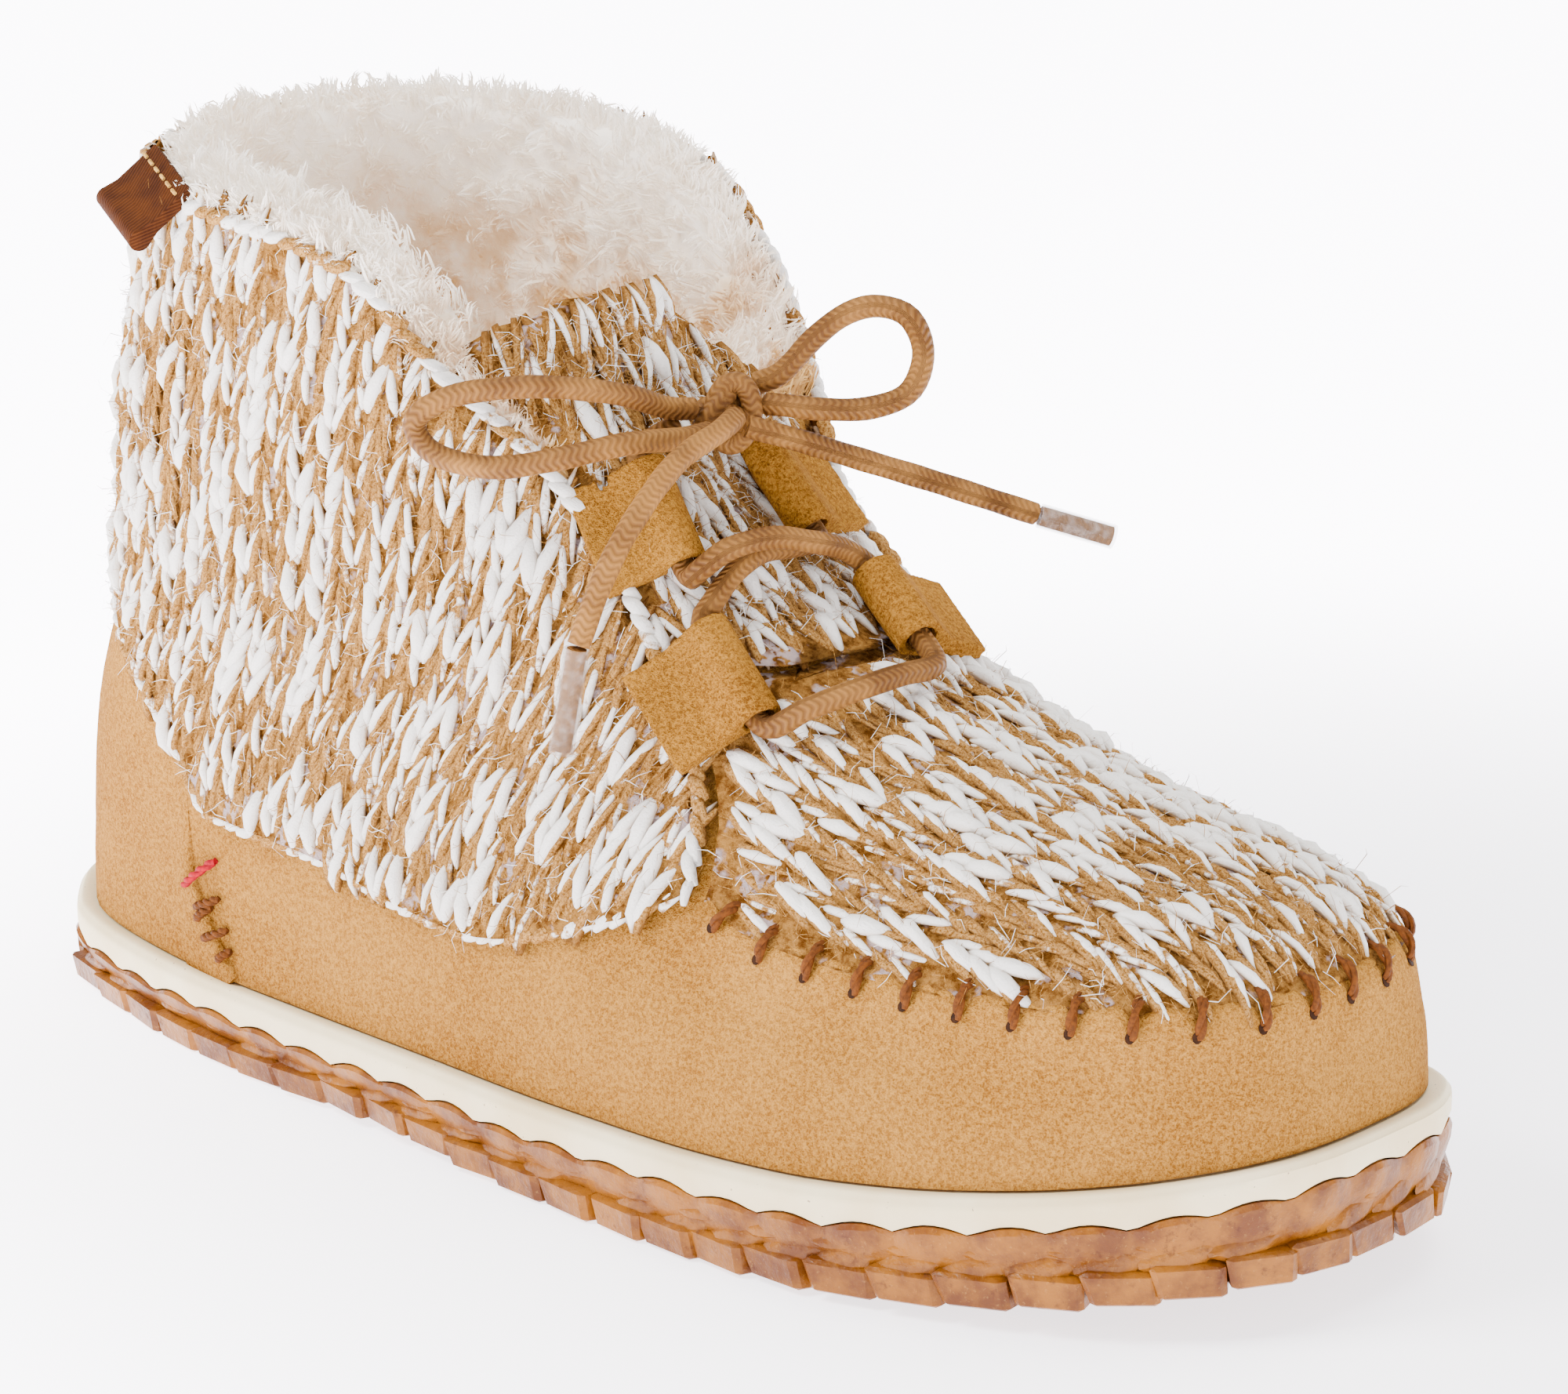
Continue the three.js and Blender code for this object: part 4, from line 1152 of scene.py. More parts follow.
@dataclass(frozen=True)
class Cord:
    """Waxed round cord with a herringbone braid and dark flecks."""

    name: str
    light: Colour = (0.3, 0.135, 0.03)
    dark: Colour = (0.09, 0.033, 0.006)

    def make(self) -> bpy.types.Material:
        """Builds the material."""
        p = Paint(self.name)
        along, around = p.number("along"), p.number("around")
        lane = (around * 25.133).sine()
        braid = (along * 5.4 + lane * 1.9).sine()
        flecks = p.noise(0.9, 5, rough=0.7).step(0.56, 0.7)
        worn = p.noise(0.1, 3).step(0.35, 0.7)
        colour = p.mix(worn * 0.62 + braid.step(-0.9, 0.7) * 0.3, self.dark, self.light)
        colour = p.mix(flecks * 0.55, colour, (0.06, 0.02, 0.005))
        p.set(
            Base_Color=colour,
            Roughness=0.52 + 0.2 * worn,
            Normal=p.bump(braid + p.noise(2.0, 2) * 0.6, 0.12, 0.8),
            Specular_IOR_Level=0.12,
        )
        return p.material


@dataclass(frozen=True)
class Sleeve:
    """Clear glossy sleeve round a cord's end."""

    name: str

    def make(self) -> bpy.types.Material:
        """Builds the material."""
        p = Paint(self.name)
        rub = p.noise(0.6, 4).step(0.4, 0.75)
        p.set(
            Base_Color=p.mix(rub, (0.3, 0.19, 0.12), (0.6, 0.5, 0.45)),
            Roughness=0.12 + 0.2 * rub,
            Alpha=0.24,
            Specular_IOR_Level=0.12,
        )
        return p.material


@dataclass(frozen=True)
class Ribbon:
    """Plain twill ribbon."""

    name: str
    light: Colour = (0.085, 0.026, 0.007)
    dark: Colour = (0.03, 0.008, 0.003)

    def make(self) -> bpy.types.Material:
        """Builds the material."""
        p = Paint(self.name)
        where = p.places()
        x, y, z = (p.axis(where, k) for k in "XYZ")
        weave = ((x - y + z * 1.2) * 7.5).sine()
        tone = p.noise(0.3, 4).step(0.3, 0.7)
        p.set(
            Base_Color=p.mix(tone * 0.5 + weave.step(-0.7, 0.8) * 0.5, self.dark, self.light),
            Roughness=0.7 + 0.2 * tone,
            Normal=p.bump(weave + p.noise(3.0, 1), 0.1, 0.8),
            Specular_IOR_Level=0.05,
        )
        return p.material


@dataclass(frozen=True)
class Thread:
    """Twisted sewing thread of one colour."""

    name: str
    colour: Colour

    def make(self) -> bpy.types.Material:
        """Builds the material."""
        p = Paint(self.name)
        tone = p.noise(1.6, 3).step(0.3, 0.7)
        p.set(
            Base_Color=p.mix(tone, tuple(c * 0.5 for c in self.colour), self.colour),
            Roughness=0.55 + 0.2 * tone,
            Normal=p.bump(p.noise(5.0, 2), 0.1, 0.6),
            Specular_IOR_Level=0.08,
        )
        return p.material


@dataclass(frozen=True)
class Paper:
    """Backdrop paper that glows brighter away from the boot; the dimmer glow round the boot is a painted contact
    shadow.
    """

    name: str
    colour: Colour = (0.93, 0.92, 0.95)
    # painted shadow: the glow round the boot is kept low
    near: float = 2.2
    far: float = 9.5

    def make(self) -> bpy.types.Material:
        """Builds the material."""
        p = Paint(self.name)
        where = p.places()
        x, y = p.axis(where, "X"), p.axis(where, "Y")
        # painted shadow: the glow is dimmest round a point off towards the boot's shadow side
        x, y = x - 80.0, y - 70.0
        glow = (x * x + y * y).step(40.0**2, 330.0**2)
        shadow_glow = tuple(c * self.near for c in (1.0, 0.97, 1.03))
        bright = tuple(c * self.far for c in (1.0, 0.97, 1.03))
        p.set(
            Base_Color=self.colour,
            Roughness=1.0,
            Specular_IOR_Level=0.0,
            Emission_Color=p.mix(glow, shadow_glow, bright),
            Emission_Strength=1.0,
        )
        return p.material


class Finishes:
    """All the finishes of the boot, made once."""

    def __init__(self) -> None:
        """Builds every material."""
        self.suede = Suede("suede_nap").make()
        self.trim = Suede("suede_trim_nap", (0.42, 0.19, 0.026), (0.12, 0.04, 0.003), 1.3).make()
        self.yarn = Yarn("marl_yarn").make()
        self.backing = Backing("knit_backing").make()
        self.pile = Pile("shearling_pile").make()
        self.gum = Gum("gum_rubber").make()
        self.foxing = Rubber("cream_foxing").make()
        self.cord = Cord("waxed_cord").make()
        self.sleeve = Sleeve("clear_sleeve").make()
        self.ribbon = Ribbon("brown_ribbon").make()
        self.whip = Thread("rust_thread", (0.13, 0.038, 0.006)).make()
        self.tack = Thread("red_thread", (0.38, 0.001, 0.012)).make()
        self.gold = Thread("gold_thread", (0.62, 0.34, 0.08)).make()
        # painted shade: near-black discs stand in for the shade inside the stitch holes
        self.hole = Thread("stitch_hole", (0.035, 0.013, 0.005)).make()


# --------------------------------------------------------------------------------------------
# Sub-assemblies
# --------------------------------------------------------------------------------------------

@dataclass
class Studio:
    """The camera of the photograph, soft lights and a pale floor. Lengths in metres."""

    azimuth: float = 41.9
    elevation: float = 17.6
    distance: float = 1.1
    focal: float = 9053 / 2000 * 36
    target: tuple[float, float, float] = (0.0171, 0.0016, 0.0716)

    def back(self) -> Vector:
        """Direction from the object to the camera."""
        a, e = math.radians(self.azimuth), math.radians(self.elevation)
        return Vector((math.sin(a) * math.cos(e), -math.cos(a) * math.cos(e), math.sin(e)))

    def camera(self) -> None:
        """Adds the camera."""
        data = bpy.data.cameras.new("camera")
        data.lens = self.focal
        data.sensor_width = 36
        data.clip_start = 0.02
        data.clip_end = 30
        cam = bpy.data.objects.new("camera", data)
        cam.location = Vector(self.target) + self.back() * self.distance
        cam.rotation_euler = (-self.back()).to_track_quat("-Z", "Y").to_euler()
        bpy.context.scene.collection.objects.link(cam)
        bpy.context.scene.camera = cam

    def lamp(self, name: str, place: Sequence[float], size: float, power: float) -> None:
        """Adds a square soft light that faces the boot."""
        data = bpy.data.lights.new(name, "AREA")
        data.energy = power
        data.size = size
        lamp = bpy.data.objects.new(name, data)
        lamp.location = place
        aim = Vector((0, 0, 0.06)) - Vector(place)
        lamp.rotation_euler = aim.to_track_quat("-Z", "Y").to_euler()
        bpy.context.scene.collection.objects.link(lamp)

    def light(self) -> None:
        """Adds the lights and the sky."""
        self.lamp("key", (-0.55, -0.85, 1.2), 0.6, 36)
        self.lamp("fill", (1.3, -0.5, 0.7), 1.0, 8)
        self.lamp("top", (0.1, 0.5, 1.4), 1.0, 22)
        world = bpy.data.worlds.new("studio")
        world.use_nodes = True
        shade = world.node_tree.nodes["Background"]
        shade.inputs[0].default_value = (0.96, 0.955, 1.0, 1)
        shade.inputs[1].default_value = 0.9
        bpy.context.scene.world = world

    def floor(self) -> None:
        """Adds the pale floor."""
        Bench.clear()
        bpy.ops.mesh.primitive_plane_add(size=6, location=(0, 0, -0.0002))
        floor = bpy.context.object
        floor.name = "floor"
        floor.data.materials.append(Paper("floor_paper").make())


@dataclass
class Sole:
    """Outsole with its lugs, foxing and insole."""

    lines: SoleLines
    finishes: Finishes
    steps: int = 360

    def loop(self, inset: Any, height: Callable[[Array, Array], Array]) -> Array:
        """A loop round the sole at an inset, with its height from place and run."""
        rim = self.lines.rim(self.steps)
        x, y = rim[:, 0] - rim[:, 2] * inset, rim[:, 1] - rim[:, 3] * inset
        return np.column_stack([x, y, height(x, rim[:, 4])])

    def wave(self, run: Array) -> Array:
        """Scallops of the line between gum and foxing."""
        uneven = 0.35 * np.sin(run / 9.1) + 0.25 * np.sin(run / 3.7 + 1.3)
        return self.lines.wave_height * (np.abs(np.sin(np.pi * run / self.lines.wave_pitch)) - 0.5) + 0.5 * uneven

    def foxing(self) -> None:
        """The cream layer with its soft upper edge."""
        s = self.lines
        low = lambda x, run: s.footbed(x) - s.foxing + 0.3 + self.wave(run)
        loops = [
            self.loop(4.5, lambda x, run: s.footbed(x) - s.foxing + 0.6),
            self.loop(1.4, low),
            self.loop(0.5, low),
            self.loop(0.15, lambda x, run: low(x, run) + 0.8),
            self.loop(0.1, lambda x, run: s.footbed(x) - 2.2),
            self.loop(0.2, lambda x, run: s.footbed(x) - 1.3),
            self.loop(0.5, lambda x, run: s.footbed(x) - 1.05),
            self.loop(0.75, lambda x, run: s.footbed(x) - 0.5),
            self.loop(1.2, lambda x, run: s.footbed(x) - 0.1),
            self.loop(1.9, lambda x, run: s.footbed(x)),
            self.loop(2.7, lambda x, run: s.footbed(x) - 0.15),
            self.loop(6.5, lambda x, run: s.footbed(x) - 0.4),
        ]
        obj = Bench.grid("foxing", np.array(loops), wrap=True)
        Bench.close(obj)
        Bench.smooth(obj, 50)
        Bench.finish(obj, "cream_foxing", [self.finishes.foxing], ["midsole_foxing"])

    def slab(self) -> bpy.types.Object:
        """The gum layer's body, which swells under each scallop."""
        s = self.lines
        run = s.rim(self.steps)[:, 4]
        swell = np.abs(np.sin(np.pi * run / s.wave_pitch)) ** 0.6
        under = lambda x, run: s.ground(x) + s.tread
        top = lambda x, run: s.footbed(x) - s.foxing + self.wave(run)
        between = lambda share: lambda x, run: under(x, run) * (1 - share) + top(x, run) * share
        loops = [
            self.loop(9.0, under),
            self.loop(3.4, under),
            self.loop(2.4 - 0.5 * swell, between(0.12)),
            self.loop(1.7 - 0.8 * swell, between(0.4)),
            self.loop(1.2 - 1.2 * swell, between(0.7)),
            self.loop(0.9 - 1.1 * swell, between(0.9)),
            self.loop(1.0 - 0.8 * swell, top),
            self.loop(2.0, top),
            self.loop(4.5, lambda x, run: s.footbed(x) - s.foxing - 0.3),
        ]
        obj = Bench.grid("outsole_slab", np.array(loops), wrap=True)
        Bench.close(obj)
        return obj

    def around(self, count: int, shift: float, inset: float) -> Array:
        """Evenly spaced places round the edge: x, y, outward x, outward y."""
        rim = self.lines.rim(720)
        total = rim[-1, 4] + np.linalg.norm(rim[0, :2] - rim[-1, :2])
        at = ((np.arange(count) + shift) * total / count) % total
        i = np.searchsorted(rim[:, 4], at) % len(rim)
        x, y = rim[i, 0] - rim[i, 2] * inset, rim[i, 1] - rim[i, 3] * inset
        return np.column_stack([x, y, rim[i, 2], rim[i, 3]])

    def pattern(self, sides: int) -> tuple[bpy.types.Object, Array]:
        """One bevelled block, modelled once, with its points in its own unit."""
        Bench.clear()
        if sides == 4:
            bpy.ops.mesh.primitive_cube_add(size=1)
        else:
            bpy.ops.mesh.primitive_cylinder_add(vertices=sides, radius=0.5, depth=1)
        obj = bpy.context.object
        Bench.modify(obj, "BEVEL", width=0.09, segments=1, limit_method="NONE")
        flat = np.empty(len(obj.data.vertices) * 3, np.float32)
        obj.data.vertices.foreach_get("co", flat)
        return obj, flat.reshape(-1, 3).astype(float)

    def lugs(self) -> list[bpy.types.Object]:
        """The tread's blocks and the scales on the gum's side."""
        s = self.lines
        rng = np.random.default_rng(7)
        block, co = self.pattern(4)
        rows = [
            (self.around(56, 0.2, 4.2), 11.5, 8.6, 0.3),
            (self.around(40, 0.6, 13.2), 9.4, 8.0, 0.0),
        ]
        placed = []
        for spots, length, depth, climb in rows:
            for x, y, ox, oy in spots:
                wall = float(s.footbed(x) - s.foxing - s.ground(x) - s.tread)
                placed.append(self.block(co, (x, y), (ox, oy), (length, depth, s.tread + climb * wall + 0.4), rng))
        for x in np.arange(-100, 108, 12.4):
            low, high = -float(s.width(Side.OUTER)(x)) + 19.5, float(s.width(Side.INNER)(x)) - 19.5
            for y in np.arange(low + 2, high, 10.8):
                placed.append(self.block(co, (x, y), (0.35, 1.0), (8.6, 7.6, s.tread + 0.4), rng))
        scale, ring = self.pattern(6)
        scales = []
        for count, shift, low, share in ((60, 0.7, 0.34, 0.6), (48, 0.25, 0.62, 0.42)):
            for x, y, ox, oy in self.around(count, shift, 0.2)[rng.random(count) < 0.85]:
                base, top = float(s.ground(x) + s.tread), float(s.footbed(x) - s.foxing)
                tall = (top - base) * share
                slim = np.where(ring[:, 2] > 0, 0.66, 1.0)
                along = (ring[:, 0] * slim + 0.42 * ring[:, 1]) * 11.0 * rng.uniform(0.9, 1.1)
                up = ring[:, 1] * slim * tall * rng.uniform(0.85, 1.25)
                out = (ring[:, 2] + 0.5) * rng.uniform(0.7, 1.2) - 1.5 - ring[:, 1] * 0.6
                scales.append(
                    np.column_stack([
                        x - oy * along + ox * out,
                        y + ox * along + oy * out,
                        base + (top - base) * low + up,
                    ])
                )
        return [Bench.spread(block, "lugs", placed), Bench.spread(scale, "scales", scales)]

    def block(
        self,
        co: Array,
        at: tuple[float, float],
        out: tuple[float, float],
        size: tuple[float, float, float],
        rng: np.random.Generator,
    ) -> Array:
        """Places of one lug: tapered to its foot, skewed and a little turned.

        Args:
            co: The pattern's points.
            at: Middle of the lug.
            out: Direction of its depth.
            size: Length, depth and height.
            rng: Source of its irregularity.

        Returns:
            The lug's points.
        """
        slim = np.where(co[:, 2] < 0, 0.9, 1.0)
        skew = rng.uniform(0.2, 0.75)
        length = (co[:, 0] * slim + skew * co[:, 1] * 0.4 + 0.25 * skew * co[:, 2]) * size[0]
        depth = co[:, 1] * slim * size[1]
        turn = math.atan2(out[1], out[0]) - math.pi / 2 + rng.uniform(-0.14, 0.14)
        c, n = math.cos(turn), math.sin(turn)
        ground = float(self.lines.ground(at[0])) + 0.02
        height = (co[:, 2] + 0.5) * size[2] * (1 - 0.16 * (co[:, 1] + 0.5))
        return np.column_stack([at[0] + length * c - depth * n, at[1] + length * n + depth * c, ground + height])

    def outsole(self) -> None:
        """The gum layer with its tread and scales."""
        obj = Bench.join([self.slab(), *self.lugs()], "outsole_gum")
        Bench.smooth(obj, 28)
        Bench.finish(obj, "gum_rubber", [self.finishes.gum], ["outsole"])

    def insole(self) -> None:
        """The footbed with its pile."""
        obj = Bench.copy_node("insole", "insole_pile")
        # painted shade: the footbed's pile lies deep in the boot and takes much of the gold shade
        Bench.paint(obj, "depth", np.full(len(obj.data.vertices), 0.7))
        Bench.smooth(obj, 30)
        Bench.finish(obj, "shearling", [self.finishes.pile], ["insole"])

    def build(self) -> None:
        """Builds all three."""
        self.outsole()
        self.foxing()
        self.insole()


@dataclass
class Foot:
    """The suede shell: a smooth form with its wall, cut at the collar, throat and sole."""

    last: Last
    finishes: Finishes
    wall: float = 2.6
    back_seam: float = 0.5

    def solid(self, name: str, offset: float) -> bpy.types.Object:
        """The closed form grown by an offset, with its two sides joined down the back."""
        sheet = self.last.grid(108, 84)
        normals = sheet_normals(sheet, np.array([0.0, 0.0, 50.0]))
        grown = sheet + normals * offset
        back = np.linalg.norm(sheet[:, 0] - sheet[:, -1], axis=1) < self.back_seam
        grown[back, 0] = grown[back, -1] = (grown[back, 0] + grown[back, -1]) / 2
        obj = Bench.grid(name, grown)
        Bench.close(obj)
        return obj

    def under_sole(self) -> bpy.types.Object:
        """Everything below the foxing's top."""
        sole = Sole(self.last.sole, self.finishes, 200)
        loops = [
            sole.loop(-8, lambda x, run: np.full(len(x), -20.0)),
            sole.loop(-8, lambda x, run: self.last.sole.footbed(x) + 0.25),
            sole.loop(8, lambda x, run: self.last.sole.footbed(x) + 0.25),
        ]
        obj = Bench.grid("under_sole", np.array(loops), wrap=True)
        Bench.close(obj)
        return obj

    def build(self) -> None:
        """Cuts the shell and dresses its outside and its lining."""
        n = self.last.lines
        shell = self.solid("upper_suede", 0)
        Bench.cut(shell, self.solid("hollow", -self.wall))
        Bench.cut(shell, self.under_sole())
        collar = np.vstack([drawn([*n.collar, n.throat[0]]), [(160, n.throat[0][1]), (160, 220), (-160, 220)]])
        Bench.cut(shell, side_cutter("collar_cut", collar))
        throat = np.vstack([[(n.throat[0][0], 220)], drawn(n.throat), drawn(n.throat_floor), [(160, 220)]])
        Bench.cut(shell, side_cutter("throat_cut", throat))
        Bench.merge(shell)
        shell.data.materials.clear()
        shell.data.materials.append(self.finishes.suede)
        shell.data.materials.append(self.finishes.pile)
        middle = np.array([0.0, 0.0, 40.0])
        for face in shell.data.polygons:
            c = np.array(face.center) / MM - CENTRING
            side = Side.OUTER if c[1] < 0 else Side.INNER
            y = float(self.last.side_y(side, np.array([c[0]]), np.array([c[2]]))[0])
            facing = np.array(face.normal) @ (c - middle)
            if facing < 0 and abs(c[1]) < y - 1.2 or (abs(c[1]) < y - 2.0 and c[2] < 60 and facing < 0):
                face.material_index = 1
        # painted shade: the lining's pile takes a middling share of the gold shade
        Bench.paint(shell, "depth", np.full(len(shell.data.vertices), 0.5))
        Bench.smooth(shell, 35)
        Bench.finish(shell, "suede", [], ["upper"])


@dataclass(frozen=True)
class Ply:
    """One strand of a stitch's leg, modelled once: a short tube of few faces."""

    rings: int
    sides: int
    thin: float
    fat: float
    least_white: float
    most_white: float
    line: tuple[tuple[float, float, float, float], ...]

    def centre(self) -> Array:
        """The strand's line across, along and in height, with its thickness."""
        return spline(self.line, self.rings - 1)


SLUB = Ply(
    7, 7, 0.4, 0.95, 0.24, 1.0,
    (
        (0.04, -0.5, -0.9, 0.22), (0.1, -0.02, 0.3, 0.78), (0.18, 0.48, 0.85, 1.08),
        (0.27, 0.95, 0.8, 1.02), (0.36, 1.4, 0.25, 0.72), (0.44, 1.85, -0.9, 0.22),
    ),
)
STRAND = Ply(
    6, 5, 0.9, 0.75, 0.0, 0.16,
    (
        (0.17, -0.45, -0.7, 0.7), (0.25, 0.1, 0.15, 1.0), (0.34, 0.6, 0.5, 1.0),
        (0.42, 1.1, 0.35, 1.0), (0.49, 1.6, -0.5, 0.7),
    ),
)


@dataclass
class Knit:
    """Knitted panels: yarn stitches laid on the form over a shaded ground."""

    last: Last
    finishes: Finishes
    wale: float = 5.35
    course: float = 4.3
    lift: float = 1.85
    cluster: float = 0.34
    plies: tuple[Ply, ...] = (SLUB, STRAND)

    def legs(
        self, patch: Patch, centres: Array, slubs: Array, seed: int, flip: int = 1
    ) -> tuple[Array, Array, dict[str, Array]]:
        """Lays stitches on a patch.

        Args:
            patch: Sheet that carries them.
            centres: Across and along of each stitch.
            slubs: Two numbers for the yarn of each stitch's legs.
            seed: Seed of the small irregularities.
            flip: 1 where the legs open along the patch, -1 where they open against it.

        Returns:
            Points, faces and the numbers of each point.
        """
        rng = np.random.default_rng(seed)
        points, faces = [], []
        numbers: dict[str, list[Array]] = {"slub": [], "along": [], "around": [], "deep": []}
        start, count = 0, len(centres)
        for ply in self.plies:
            line = ply.centre()
            ring = np.arange(ply.rings)
            turn = np.linspace(0, 2 * np.pi, ply.sides, endpoint=False)
            base = np.array(tube_faces(ply.rings, ply.sides)[:-2])
            if patch.right_handed():
                base = base[:, ::-1]
            for leg, hand in enumerate((-1, 1)):
                slub = slubs[:, leg]
                stray = rng.uniform(-1, 1, (count, 5))
                thick = ply.thin + (ply.fat - ply.thin) * slub + self.cluster * ply.most_white * (slub > 0.86)
                thick = thick * (1 + 0.16 * stray[:, 0])
                across = hand * line[:, 0] + 0.07 * stray[:, 1:2] * line[:, 1] + 0.03 * stray[:, 4:]
                cu = centres[:, :1] + across * self.wale
                cv = centres[:, 1:] + flip * (line[:, 1] - 0.6 + 0.1 * stray[:, 2:3]) * self.course
                ch = self.lift + line[:, 2] * 0.8 + (slub[:, None] - 0.5) * 0.7 + 0.15 * stray[:, 3:4]
                radius = thick[:, None] * line[:, 3] * (1 + 0.1 * rng.normal(0, 1, (count, ply.rings)))
                du, dv = np.gradient(cu, axis=1), np.gradient(cv, axis=1)
                long = np.hypot(du, dv)
                twist = 1 + 0.12 * np.cos(2 * turn + ring[:, None] * 1.1)
                flat = radius[..., None] * np.cos(turn) * twist
                uu = cu[..., None] + (dv / long)[..., None] * flat
                vv = cv[..., None] - (du / long)[..., None] * flat
                hh = ch[..., None] + radius[..., None] * np.sin(turn) * twist * 0.95
                points.append(patch.at(uu, vv, hh).reshape(-1, 3))
                size = ply.rings * ply.sides
                faces.append((base[None] + start + np.arange(count)[:, None, None] * size).reshape(-1, 4))
                start += count * size
                white = ply.least_white + (ply.most_white - ply.least_white) * slub
                phase = rng.uniform(0, 9, count)[:, None] + ring * 1.25
                numbers["slub"].append(np.repeat(white, size))
                numbers["along"].append(np.repeat(phase.ravel(), ply.sides))
                numbers["around"].append(np.tile(turn / (2 * np.pi), count * ply.rings))
                # painted shade: the deep number darkens low strands and the sides and underside of each strand
                flank_shade = np.tile((1 - np.sin(turn)) * 0.42, count * ply.rings)
                numbers["deep"].append(np.clip(0.5 - (hh - self.lift).ravel() / 1.6, 0, 1) + flank_shade)
        return np.vstack(points), np.vstack(faces), {k: np.concatenate(v) for k, v in numbers.items()}

    def hairs(self, patch: Patch, spots: Array, seed: int) -> tuple[Array, Array, dict[str, Array]]:
        """Loose fibres over the yarn, as thin ribbons.

        Args:
            patch: Sheet that carries them.
            spots: Across and along of their roots.
            seed: Seed of their lie.

        Returns:
            Points, faces and the numbers of each point.
        """
        rng = np.random.default_rng(seed)
        count = len(spots)
        turn, bend = rng.uniform(0, 2 * np.pi, count), rng.normal(0, 0.9, count)
        long, rise = rng.uniform(1.6, 4.6, count), rng.gamma(2.0, 0.35, count)
        station = np.array([0.0, 0.5, 1.0])
        angle = turn[:, None] + bend[:, None] * station
        u = spots[:, :1] + np.cos(angle) * long[:, None] * station
        v = spots[:, 1:] + np.sin(angle) * long[:, None] * station
        h = self.lift + 0.6 + rise[:, None] * np.array([0.0, 1.3, 1.5])
        side = np.array([-0.05, 0.05])
        wide = side * np.array([1.0, 1.0, 0.4])[:, None]
        uu = u[..., None] - np.sin(angle)[..., None] * wide
        vv = v[..., None] + np.cos(angle)[..., None] * wide
        points = patch.at(uu, vv, np.broadcast_to(h[..., None], uu.shape)).reshape(-1, 3)
        base = np.array([[0, 1, 3, 2], [2, 3, 5, 4]])
        faces = (base[None] + np.arange(count)[:, None, None] * 6).reshape(-1, 4)
        tone = (rng.random(count) < 0.22).astype(float)
        flat = np.zeros(count * 6)
        return points, faces, {"slub": np.repeat(tone, 6), "along": flat, "around": flat, "deep": flat}

    def slubs(self, rows: Array, places: Array, seed: int) -> Array:
        """Whiteness and thickness of the yarn, which runs along the courses in short patches."""
        rng = np.random.default_rng(seed)
        table = rng.uniform(0, 1, (260, 420))
        table = (table + 0.9 * np.roll(table, 1, axis=1) + 0.45 * np.roll(table, 1, axis=0)) / 2.35
        low, high = np.percentile(table, [18, 88])
        table = np.clip((table - low) / (high - low), 0, 1)
        row, place = rows.astype(int) % 250, (places.astype(int) * 2) % 400
        both = np.column_stack([table[row, place + 8], table[row, place + 9]])
        return np.clip(both + rng.normal(0, 0.16, both.shape), 0, 1)

    def panel(
        self,
        name: str,
        patch: Patch,
        outline: Array,
        span: tuple[float, float, float, float],
        seed: int,
        keep: Callable[[Array], Array] | None = None,
        flip: int = 1,
        margin: float = 0.8,
        hairs: int = 9000,
    ) -> bpy.types.Object:
        """A panel of stitches inside a side-view outline.

        Args:
            name: Name of the piece.
            patch: Sheet that carries it.
            outline: Side-view outline in millimetres.
            span: First and last measure across, then along.
            seed: Seed of its yarn.
            keep: A further test of the places.
            flip: Which way the legs open.
            margin: Least distance from the outline.
            hairs: Loose fibres tried over the whole span.

        Returns:
            The panel's object.
        """
        wale, course = self.wale, self.course
        us = np.arange(span[0] + wale / 2, span[1], wale)
        vs = np.arange(span[2] + course / 2, span[3], course)
        uu, vv = np.meshgrid(us, vs)
        rows, columns = np.divmod(np.arange(uu.size), len(us))
        u, v = uu.ravel(), vv.ravel() + 0.12 * course * np.sin(uu.ravel() / 17.0)

        def good(at_u: Array, at_v: Array, least: float) -> Array:
            """Whether measures lie inside the panel."""
            place = patch.at(at_u, at_v)
            found = inside(outline, place[:, 0], place[:, 2])
            found &= edge_distance(outline, place[:, 0], place[:, 2]) > least
            return found & keep(place) if keep is not None else found

        chosen = good(u, v, margin)
        slubs = self.slubs(rows[chosen], columns[chosen], seed)
        stitches = self.legs(patch, np.column_stack([u, v])[chosen], slubs, seed + 1, flip)
        rng = np.random.default_rng(seed + 2)
        spots = rng.uniform([span[0], span[2]], [span[1], span[3]], (hairs, 2))
        loose = self.hairs(patch, spots[good(*spots.T, 0.5)], seed + 3)
        obj = Bench.mesh(
            name, np.vstack([stitches[0], loose[0]]), np.vstack([stitches[1], loose[1] + len(stitches[0])])
        )
        for key in stitches[2]:
            Bench.paint(obj, key, np.concatenate([stitches[2][key], loose[2][key]]))
        Bench.soft(obj)
        return obj

